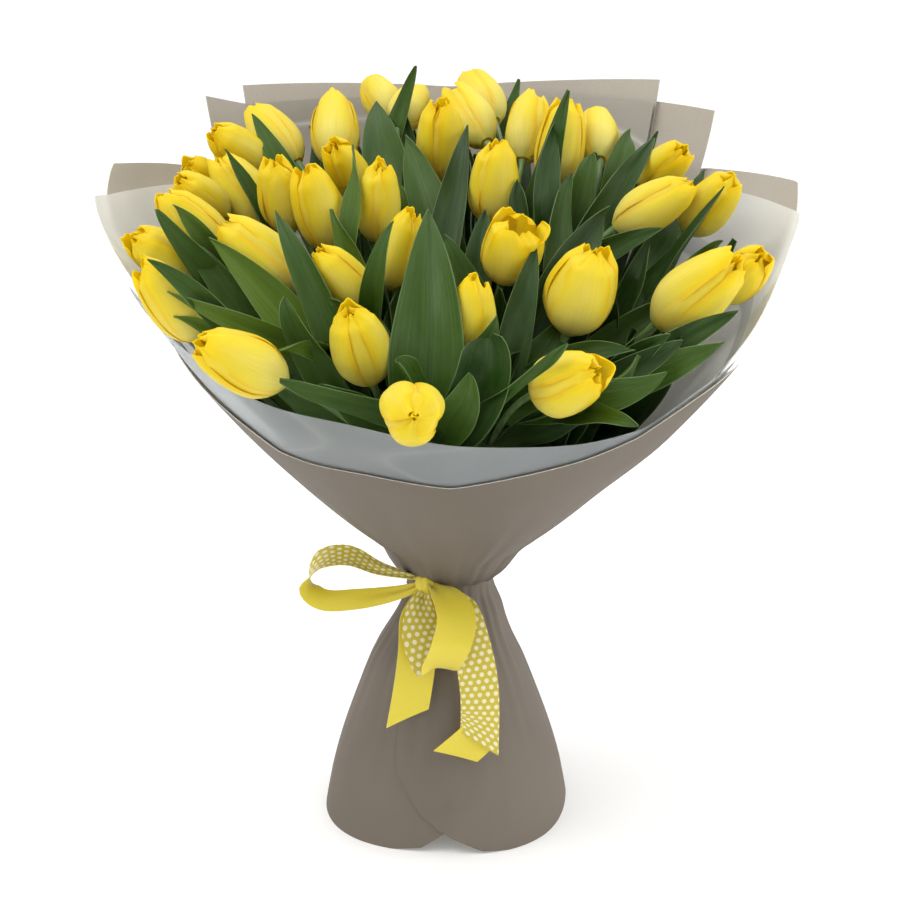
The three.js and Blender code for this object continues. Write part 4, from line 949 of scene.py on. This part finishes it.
string_low, string_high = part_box("string")
winding_radius = (string_high.x - string_low.x) / 2 - 2 * STRING_RADIUS
growth = Growth()
for ply in (0, 1):
    turn = np.linspace(0, STRING_TURNS * 2 * pi, 240)
    lay = PLY_TWIST * turn + ply * pi
    reach = winding_radius + 0.6 * STRING_RADIUS * np.cos(lay)
    climbed = TIE_HEIGHT - STRING_CLIMB / 2 + STRING_CLIMB * turn / turn[-1]
    height = climbed + 0.6 * STRING_RADIUS * np.sin(lay)
    growth.stalk(np.stack([reach * np.cos(turn), reach * np.sin(turn), height], 1), STRING_RADIUS * 0.6, 6)
growth.make("twine", [twine_finish()], "string", "string")

# Ribbon: 25 mm satin ribbon, plain yellow on one face and with cream dots on the other. It is gathered round
# the waist and tied in a bow at the front left, with one loop to the side, one hanging forward and two tails.
RIBBON_WIDTH = 0.025
RIBBON_THICKNESS = 0.0005
TAIL_SLANT = 0.0165
DOT_ROW, DOT_COLUMN = 0.0043, 0.0052
KNOT = np.array([-0.015, -0.033, 0.1735])
KNOT_LENGTH, KNOT_HEIGHT = 0.0072, 0.0078
RING_GAP = 0.0009
# Its runs: kind, share of the full width, way that the width lies, finishes of its two faces, and line in mm
RIBBON_RUNS = [
    ("loop", 0.62, (0.25, 0.75, 0.6), (0, 1),
     [(-15, -34, 173), (-36, -35, 167), (-60, -37, 164), (-82, -36, 163), (-92, -31, 171), (-84, -26, 186),
      (-66, -25, 189), (-45, -28, 181), (-16, -33, 176)]),
    ("loop", 1, (1, 0.12, 0), (1, 0),
     [(-13, -36, 175), (-4, -50, 174), (4, -66, 164), (0, -76, 147), (-9, -68, 129), (-18, -58, 145),
      (-19, -46, 161), (-16, -36, 171)]),
    ("tail", 1, (1, 0.1, 0), (1, 0),
     [(-16, -35, 171), (-20, -46, 154), (-21, -55, 135), (-24, -61, 112), (-29, -67, 84)]),
    ("tail", 1, (-1, -0.1, 0), (1, 0),
     [(-13, -35, 173), (5, -51, 163), (14, -63, 141), (19, -71, 113), (19, -78, 71)]),
    ("fold", 1, (0.63, 0, -0.78), (0, 0),
     [(19.5, -74, 85), (12, -76, 78.5), (4, -78, 72), (-3, -80, 66.5)]),
]


def satin_finish(name, has_dots):
    """Yellow satin, with rows of cream dots on its printed face."""
    finish = Finish(name)
    across, along = finish.place()
    threads = finish.grain((9000, 900), 1.0)
    body = (0.62, 0.5, 0.035, 1) if has_dots else (0.8, 0.66, 0.045, 1)
    cloth = finish.ramp(threads, (0.3, 0.88), (0.7, 1.08))
    colour = finish.blend(1.0, body, cloth, "MULTIPLY")
    if has_dots:
        row = finish.sum("DIVIDE", along, DOT_ROW)
        odd = finish.times(finish.sum("MODULO", finish.sum("FLOOR", row), 2.0), 0.5)
        column = finish.sum("ADD", finish.sum("DIVIDE", across, DOT_COLUMN), odd)
        x = finish.sum("SUBTRACT", finish.sum("FRACT", column), 0.5)
        y = finish.times(finish.sum("SUBTRACT", finish.sum("FRACT", row), 0.5), DOT_ROW / DOT_COLUMN)
        gap = finish.sum("SQRT", finish.sum("ADD", finish.times(x, x), finish.times(y, y)))
        dot = finish.ramp(gap, (0.26, 1), (0.31, 0))
        colour = finish.blend(dot, colour, (0.85, 0.82, 0.52, 1))
    finish.surface(colour, 0.34)
    finish.shader.inputs["Sheen Weight"].default_value = 0.3
    finish.bump(threads, 0.00006)
    finish.let_through(0.15, colour)
    return finish.material


def curve_through(points, steps):
    """A smooth curve through points, as evenly stepped points."""
    points = np.array(points, float)
    ends = np.concatenate([2 * points[:1] - points[1:2], points, 2 * points[-1:] - points[-2:-1]])
    where = np.linspace(0, len(points) - 1, steps)
    k = np.clip(where.astype(int), 0, len(points) - 2)
    t = (where - k)[:, None]
    p0, p1, p2, p3 = ends[k], ends[k + 1], ends[k + 2], ends[k + 3]
    return 0.5 * (2 * p1 + (p2 - p0) * t + (2 * p0 - 5 * p1 + 4 * p2 - p3) * t ** 2
                  + (3 * p1 - p0 - 3 * p2 + p3) * t ** 3)


def ribbon_grid(points, lies, share, kind):
    """Lays a strip of ribbon along its line, pleated where it comes out of the knot."""
    steps, columns = 48, 13
    line = curve_through(np.array(points) * 0.001, steps)
    tangent = unit(np.gradient(line, axis=0))
    lies = np.array(lies, float)
    across = unit(lies - tangent * (tangent @ lies)[:, None])
    normal = np.cross(tangent, across)
    run = np.linspace(0, 1, steps)
    from_knot = {"loop": np.minimum(run, 1 - run), "tail": run, "fold": run + 1}[kind]
    gathered = np.maximum(0.3, smoothstep(from_knot, -0.15, 0.3))
    side = np.linspace(-1, 1, columns)
    half = RIBBON_WIDTH / 2 * share * gathered
    pleats = 0.0022 * (1 - gathered)[:, None] * np.sin(1.5 * pi * side + 0.5)[None, :]
    cupped = 0.0012 * (side ** 2 - 0.4)[None, :] * gathered[:, None]
    slant = 0 * run if kind == "loop" else TAIL_SLANT * smoothstep(run, 0.8 if kind == "tail" else 0, 1)
    grid = line[:, None] + across[:, None] * (half[:, None] * side)[..., None]
    grid = grid + normal[:, None] * (pleats + cupped)[..., None]
    grid = grid - tangent[:, None] * (slant[:, None] * (side + 1) / 2)[..., None]
    length = np.concatenate([[0], np.cumsum(np.linalg.norm(np.diff(line, axis=0), axis=1))])
    places = np.stack(np.broadcast_arrays((side * RIBBON_WIDTH / 2)[None, :], length[:, None]), 2)
    return grid, places


satin = [satin_finish("satin_plain", False), satin_finish("satin_dotted", True)]
growth = Growth()
for kind, share, lies, (front, back), points in RIBBON_RUNS:
    grid, places = ribbon_grid(points, lies, share, kind)
    growth.sheet(grid, RIBBON_THICKNESS, kinds=(front, back, 0), places=places)

# The turn round the waist, and the knot
ring_inner = WAIST_RADIUS + 5 * SHEET_PITCH + RING_GAP
turn, side = np.meshgrid(np.linspace(0, 2 * pi, 97), np.linspace(-1, 1, 13), indexing="ij")
pleats = 0.0006 * np.cos(3 * pi * side + 2 * np.sin(2 * turn))
reach = ring_inner + RING_GAP + pleats + 0.0004 * (1 - side ** 2)
height = TIE_HEIGHT + 0.0035 + 0.0026 * side
growth.sheet(np.stack([reach * np.cos(turn), reach * np.sin(turn), height], 2), RIBBON_THICKNESS,
             places=np.stack([side * RIBBON_WIDTH / 2, turn * 0.03], 2))
turn, side = np.meshgrid(np.linspace(0, 2 * pi, 49), np.linspace(-1, 1, 15), indexing="ij")
swell = np.sqrt(np.clip(1 - 0.8 * side ** 2, 0, 1)) * (1 + 0.06 * np.cos(3 * pi * side + np.sin(turn)))
knot = np.stack([KNOT_LENGTH * side + 0 * turn, KNOT_LENGTH * swell * np.cos(turn),
                 KNOT_HEIGHT * swell * np.sin(turn)], 2)
growth.sheet(KNOT + knot, RIBBON_THICKNESS, places=np.stack([side * RIBBON_WIDTH / 2, turn * 0.007], 2))
growth.make("bow", satin, "ribbon", "ribbon")

# The studio: a plain pale flat floor, even light all round with a soft key light from above on the left and
# weaker ones from the right and from behind, and the camera where the picture was taken from.
FLOOR_REACH = 8


def studio_finish():
    """Even, matt, nearly white."""
    finish = Finish("studio")
    colour = finish.ramp(finish.clouds(2.0, 2.0), (0.3, (0.87, 0.87, 0.86)), (0.7, (0.9, 0.9, 0.89)))
    finish.surface(colour, 0.9)
    finish.shader.inputs["Emission Color"].default_value = (1, 1, 1, 1)
    finish.shader.inputs["Emission Strength"].default_value = 0.12
    return finish.material


floor_mesh = bpy.data.meshes.new("floor")
corners = [(x * FLOOR_REACH, y * FLOOR_REACH, 0) for x, y in ((-1, -1), (1, -1), (1, 1), (-1, 1))]
floor_mesh.from_pydata(corners, [], [(0, 1, 2, 3)])
floor_mesh.materials.append(studio_finish())
floor = put_up("floor", floor_mesh)

world = bpy.data.worlds.new("studio")
world.use_nodes = True
light_around = world.node_tree.nodes["Background"].inputs
light_around["Color"].default_value = (1, 1, 1, 1)
light_around["Strength"].default_value = 1.0
bpy.context.scene.world = world
bpy.context.scene.view_settings.view_transform = "Standard"


def softbox(name, spot, size, power):
    """A square soft light that faces the middle of the bunch."""
    light = bpy.data.lights.new(name, "AREA")
    light.size, light.energy = size, power
    lamp = put_up(name, light)
    lamp.location = spot
    lamp.rotation_euler = (VIEW_AIM - Vector(spot)).to_track_quat("-Z", "Y").to_euler()


softbox("key", (-1.2, -0.4, 2.3), 1.4, 24)
softbox("fill", (2.0, -0.1, 0.7), 1.6, 16)
softbox("crown", (0.2, 1.0, 1.9), 1.2, 8)

eye = bpy.data.cameras.new("eye")
eye.sensor_width = 36
eye.lens = eye.sensor_width * PIXELS_AT_UNIT_DISTANCE / (2 * MIDDLE_PIXEL)
camera = put_up("eye", eye)
camera.location = EYE
camera.rotation_euler = AHEAD.to_track_quat("-Z", "Y").to_euler()
bpy.context.scene.camera = camera
